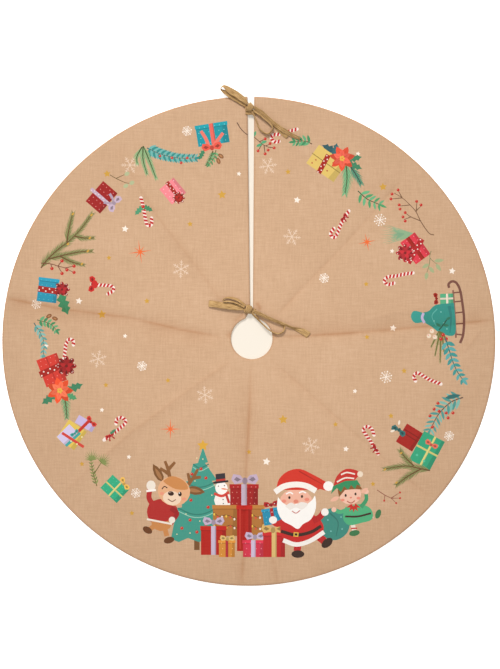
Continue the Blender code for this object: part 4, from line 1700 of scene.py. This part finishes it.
def woven_cover_cloth():
    """Linen-look polyester, plain woven from slubby yarn and pigment printed: a dull cloth whose thick and
    thin yarns show as short streaks both ways, and whose ink sinks between them. The yarn is drawn coarser
    than life. Its colour carries painted shade between the yarns, along the folds and round the rolled edge."""
    material, tree, shader = new_material("printed_linen_weave_polyester", 0.9, 0.05)
    uv = add_node(tree, "ShaderNodeUVMap", {"uv_map": "cloth"})
    yarn = 0.0016
    heights = []
    slubs = []
    for number, (long, short) in enumerate(((0.030, 0.0026), (0.0026, 0.034))):
        spread = add_node(
            tree,
            "ShaderNodeMapping",
            inputs={
                "Vector": uv.outputs["UV"],
                "Scale": (1 / long, 1 / short, 1),
                "Location": (3.7 * number, 1.3 * number, 0),
            },
        )
        slub = add_node(
            tree,
            "ShaderNodeTexNoise",
            inputs={"Vector": spread.outputs["Vector"], "Scale": 1.0, "Detail": 3.0, "Roughness": 0.6},
        )
        slubs.append(slub.outputs["Fac"])
        wave = add_node(
            tree,
            "ShaderNodeTexWave",
            {"bands_direction": "Y" if number == 0 else "X", "wave_profile": "SIN"},
            {
                "Vector": uv.outputs["UV"], "Scale": 0.31416 / yarn, "Distortion": 0.6, "Detail": 1.0,
                "Detail Scale": 40.0,
            },
        )
        heights.append(wave.outputs["Fac"])
    weave = calculate(tree, "MAXIMUM", heights[0], heights[1])
    slub = calculate(tree, "ADD", slubs[0], slubs[1])
    cloudy = add_node(
        tree,
        "ShaderNodeTexNoise",
        inputs={"Vector": uv.outputs["UV"], "Scale": 9.0, "Detail": 4.0, "Roughness": 0.55},
    )
    fibre = add_node(
        tree,
        "ShaderNodeTexNoise",
        inputs={"Vector": uv.outputs["UV"], "Scale": 420.0, "Detail": 2.0, "Roughness": 0.7},
    )
    tone = calculate(tree, "MULTIPLY_ADD", slub.outputs[0], 0.34, 0.16)
    toned = calculate(tree, "MULTIPLY_ADD", cloudy.outputs["Fac"], 0.2, tone.outputs[0])
    grained = calculate(tree, "MULTIPLY_ADD", fibre.outputs["Fac"], 0.22, toned.outputs[0])
    ramp = add_node(tree, "ShaderNodeValToRGB", inputs={"Fac": grained.outputs[0]})
    set_ramp(ramp, (0.44, "#AE8B6B"), (0.72, "#C19D7D"), (1.0, "#D0AE90"))
    printed = add_node(tree, "ShaderNodeAttribute", {"attribute_name": "ink"})
    worn = calculate(tree, "MULTIPLY_ADD", grained.outputs[0], -0.10, 1.04)
    cover = calculate(tree, "MULTIPLY", printed.outputs["Alpha"], worn.outputs[0])
    coloured = add_node(
        tree,
        "ShaderNodeMix",
        {"data_type": "RGBA"},
        {"Factor": cover.outputs[0]},
    )
    tree.links.new(ramp.outputs["Color"], coloured.inputs[6])
    tree.links.new(printed.outputs["Color"], coloured.inputs[7])
    # Painted shade between the yarns: the weave's low places darken the cloth and its ink alike.
    shadow = calculate(tree, "MULTIPLY_ADD", weave.outputs[0], 0.085, 0.915)
    # Painted shade along the folds and round the rolled edge: the colour is darkened towards a warm brown
    # there.
    painted_crease_shade = add_node(tree, "ShaderNodeAttribute", {"attribute_name": "painted_crease_shade"})
    crease_shade_tint = add_node(tree, "ShaderNodeValToRGB", inputs={"Fac": painted_crease_shade.outputs["Fac"]})
    set_ramp(crease_shade_tint, (0.0, "#FFFFFF"), (1.0, "#E2CDBB"))
    shaded = add_node(tree, "ShaderNodeMix", {"data_type": "RGBA", "blend_type": "MULTIPLY"}, {"Factor": 1.0})
    tree.links.new(crease_shade_tint.outputs["Color"], shaded.inputs[6])
    tree.links.new(shadow.outputs[0], shaded.inputs[7])
    deep = add_node(tree, "ShaderNodeMix", {"data_type": "RGBA", "blend_type": "MULTIPLY"}, {"Factor": 1.0})
    tree.links.new(coloured.outputs[2], deep.inputs[6])
    tree.links.new(shaded.outputs[2], deep.inputs[7])
    height = calculate(tree, "MULTIPLY_ADD", slub.outputs[0], 0.8, weave.outputs[0])
    bump = add_node(
        tree, "ShaderNodeBump", inputs={"Strength": 0.35, "Distance": 0.0005, "Height": height.outputs[0]}
    )
    tree.links.new(deep.outputs[2], shader.inputs["Base Color"])
    tree.links.new(bump.outputs["Normal"], shader.inputs["Normal"])
    return material


def cloth_points(step, insets):
    """Points all over the cloth in rows set half a step apart, with lines of them along its edges."""
    points = []
    for inset in insets:
        points += cloth_outline(inset, step * 0.75)
    for line, depth, left, right in CREASES:
        for x, y, turn in along(line, 5.0):
            across = Vector((-math.sin(math.radians(turn)), math.cos(math.radians(turn))))
            for offset in (0.0, 2.2, -2.2, 5.5, -5.5):
                place = Vector((x, y)) + across * offset
                if inside_cloth(*place, max(insets)) > 0:
                    points.append(tuple(place))
    rise = step * 0.866
    rows = int(SKIRT_RADIUS / rise) + 1
    for row in range(-rows, rows + 1):
        for column in range(-rows, rows + 1):
            x = (column + 0.5 * (row % 2)) * step
            y = row * rise
            if inside_cloth(x, y, max(insets) + step * 0.4) > 0:
                points.append((x, y))
    return points


def cloth_mesh(name, areas, step, insets, height, sign):
    """A layer of the laid cloth, cut into triangles that follow the outlines of its printed areas."""
    points = []
    faces = []
    for shape in [cloth_outline(0.0, 6.0), *[outline for outline, colour in areas]]:
        doubled_area = sum(a[0] * b[1] - b[0] * a[1] for a, b in zip(shape, [*shape[1:], shape[0]]))
        faces.append(list(range(len(points), len(points) + len(shape))))
        points += [Vector(p) for p in (shape if doubled_area > 0 else shape[::-1])]
    points += [Vector(p) for p in cloth_points(step, insets)]
    places, _, triangles, _, _, areas_of = delaunay_2d_cdt(points, [], faces, 0, SAME_PLACE, True)
    form = bmesh.new()
    uv = form.loops.layers.uv.new("cloth")
    ink_layer = form.loops.layers.float_color.new("ink")
    crease_shade_layer = form.verts.layers.float.new("painted_crease_shade")
    verts = []
    for place in places:
        x, y = place
        room = max(0.0, inside_cloth(x, y, 0.0))
        into_roll = max(0.0, 1 - room / ROLL_WIDTH)
        roll = ROLL_DROP * into_roll * into_roll * sign
        vert = form.verts.new((x / 1000, y / 1000, height + (cloth_lift(x, y) - roll) / 1000))
        # Painted shade: darker along the folds, and round the rolled edge where the cloth turns under.
        vert[crease_shade_layer] = max(creases_at(x, y)[1], 0.5 * into_roll)
        verts.append(vert)
    for corners, found in zip(triangles, areas_of):
        if 0 not in found:
            continue
        face = form.faces.new([verts[c] for c in corners])
        face.smooth = True
        colour = (0.6, 0.45, 0.3, 0.0)
        if max(found) > 0:
            colour = (*areas[max(found) - 1][1], 1.0)
        for loop in face.loops:
            loop[uv].uv = loop.vert.co.xy
            loop[ink_layer] = colour
    loose = [vert for vert in form.verts if not vert.link_faces]
    bmesh.ops.delete(form, geom=loose, context="VERTS")
    mesh = bpy.data.meshes.new(name)
    form.to_mesh(mesh)
    form.free()
    obj = bpy.data.objects.new(name, mesh)
    bpy.context.scene.collection.objects.link(obj)
    return obj


cover = cloth_mesh("printed_cover_cloth", print_areas, GRID_STEP, (1.2, 2.6, 4.6), cloth_top, 1)
cover.data.materials.append(woven_cover_cloth())
solid = cover.modifiers.new("thickness", "SOLIDIFY")
solid.thickness = COVER_THICKNESS
solid.offset = -1
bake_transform(cover)
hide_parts("cover_front", "cover_rear_left", "cover_rear_right")

# The lining: a plain cream woven polyester, cut to the same round and sewn to the cover all round its edge.
# It lies on the floor, and follows the cover's folds from below.
LINING_THICKNESS = 0.0008
LINING_STEP = 9.0
LINING_ROLL = -0.2
lining_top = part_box("lining_front")[1][2]


def plain_lining_cloth():
    """Plain-woven polyester lining, undyed cream: smooth, thin and a little brighter than the cover."""
    material, tree, shader = new_material("plain_weave_polyester_lining", 0.8, 0.1)
    uv = add_node(tree, "ShaderNodeUVMap", {"uv_map": "cloth"})
    fine = add_node(
        tree,
        "ShaderNodeTexNoise",
        inputs={"Vector": uv.outputs["UV"], "Scale": 600.0, "Detail": 2.0, "Roughness": 0.6},
    )
    ramp = add_node(tree, "ShaderNodeValToRGB", inputs={"Fac": fine.outputs["Fac"]})
    set_ramp(ramp, (0.35, "#E9DCC8"), (0.65, "#F4EADB"))
    bump = add_node(
        tree, "ShaderNodeBump", inputs={"Strength": 0.2, "Distance": 0.0003, "Height": fine.outputs["Fac"]}
    )
    tree.links.new(ramp.outputs["Color"], shader.inputs["Base Color"])
    tree.links.new(bump.outputs["Normal"], shader.inputs["Normal"])
    return material


lining = cloth_mesh("plain_lining_cloth", [], LINING_STEP, (1.2, 4.6), lining_top, LINING_ROLL)
lining.data.materials.append(plain_lining_cloth())
solid = lining.modifiers.new("thickness", "SOLIDIFY")
solid.thickness = LINING_THICKNESS
solid.offset = -1
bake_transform(lining)
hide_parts("lining_front", "lining_rear_left", "lining_rear_right")

# A pale floor that glows, painted light that washes out the cloth's shadows on it, with painted warm shade
# round the skirt's middle, seen in the hole and the slit; and soft studio light from the slit's side with a
# fill from the other.
FLOOR_REACH = 6.0
KEY_POWER = 367
FILL_POWER = 22
POOL_POWER = 110
SKY_STRENGTH = 0.42
floor_mesh = bpy.data.meshes.new("floor")
form = bmesh.new()
bmesh.ops.create_grid(form, x_segments=1, y_segments=1, size=FLOOR_REACH)
form.to_mesh(floor_mesh)
form.free()
floor = bpy.data.objects.new("floor", floor_mesh)
bpy.context.scene.collection.objects.link(floor)
floor.location.z = -0.0002
floor_material, tree, shader = new_material("pale_floor_painted_glow_and_shade", 0.95)
place = add_node(tree, "ShaderNodeTexCoord")
# Painted warm shade on the floor under the hole and up the slit: a darker cream round the skirt's middle,
# white beyond.
spread = add_node(
    tree,
    "ShaderNodeMapping",
    {"vector_type": "TEXTURE"},
    {"Vector": place.outputs["Object"], "Location": (0.005, 0.19, 0), "Scale": (0.10, 0.30, 1)},
)
hole_shade_gradient = add_node(
    tree, "ShaderNodeTexGradient", {"gradient_type": "SPHERICAL"}, {"Vector": spread.outputs["Vector"]},
)
hole_shade_tint = add_node(tree, "ShaderNodeValToRGB", inputs={"Fac": hole_shade_gradient.outputs["Fac"]})
set_ramp(hole_shade_tint, (0.02, "#FFFFFF"), (0.25, "#C0B8AC"))
tree.links.new(hole_shade_tint.outputs["Color"], shader.inputs["Base Color"])
# Painted glow: the floor emits its own colour, which washes out the shadows that the cloth casts on it.
tree.links.new(hole_shade_tint.outputs["Color"], shader.inputs["Emission Color"])
shader.inputs["Emission Strength"].default_value = 0.5
floor_mesh.materials.append(floor_material)


def softbox(name, place, aim, size, power):
    light = bpy.data.lights.new(name, "AREA")
    light.shape = "DISK"
    light.size = size
    light.energy = power
    lamp = bpy.data.objects.new(name, light)
    lamp.location = place
    lamp.rotation_euler = (Vector(aim) - Vector(place)).to_track_quat("-Z", "Y").to_euler()
    bpy.context.scene.collection.objects.link(lamp)


softbox("key", (-1.7, 4.4, 4.2), (0, 0, 0), 1.6, KEY_POWER)
softbox("fill", (1.2, -2.4, 3.2), (0, 0, 0), 2.0, FILL_POWER)
pool = bpy.data.lights.new("pool", "SPOT")
pool.energy = POOL_POWER
pool.spot_size = math.radians(22)
pool.spot_blend = 1.0
pool.shadow_soft_size = 0.3
pool_lamp = bpy.data.objects.new("pool", pool)
pool_lamp.location = (0, 0, 3.3)
bpy.context.scene.collection.objects.link(pool_lamp)
world = bpy.data.worlds.new("studio")
world.use_nodes = True
world.node_tree.nodes["Background"].inputs["Color"].default_value = (1.0, 1.0, 1.0, 1)
world.node_tree.nodes["Background"].inputs["Strength"].default_value = SKY_STRENGTH
bpy.context.scene.world = world
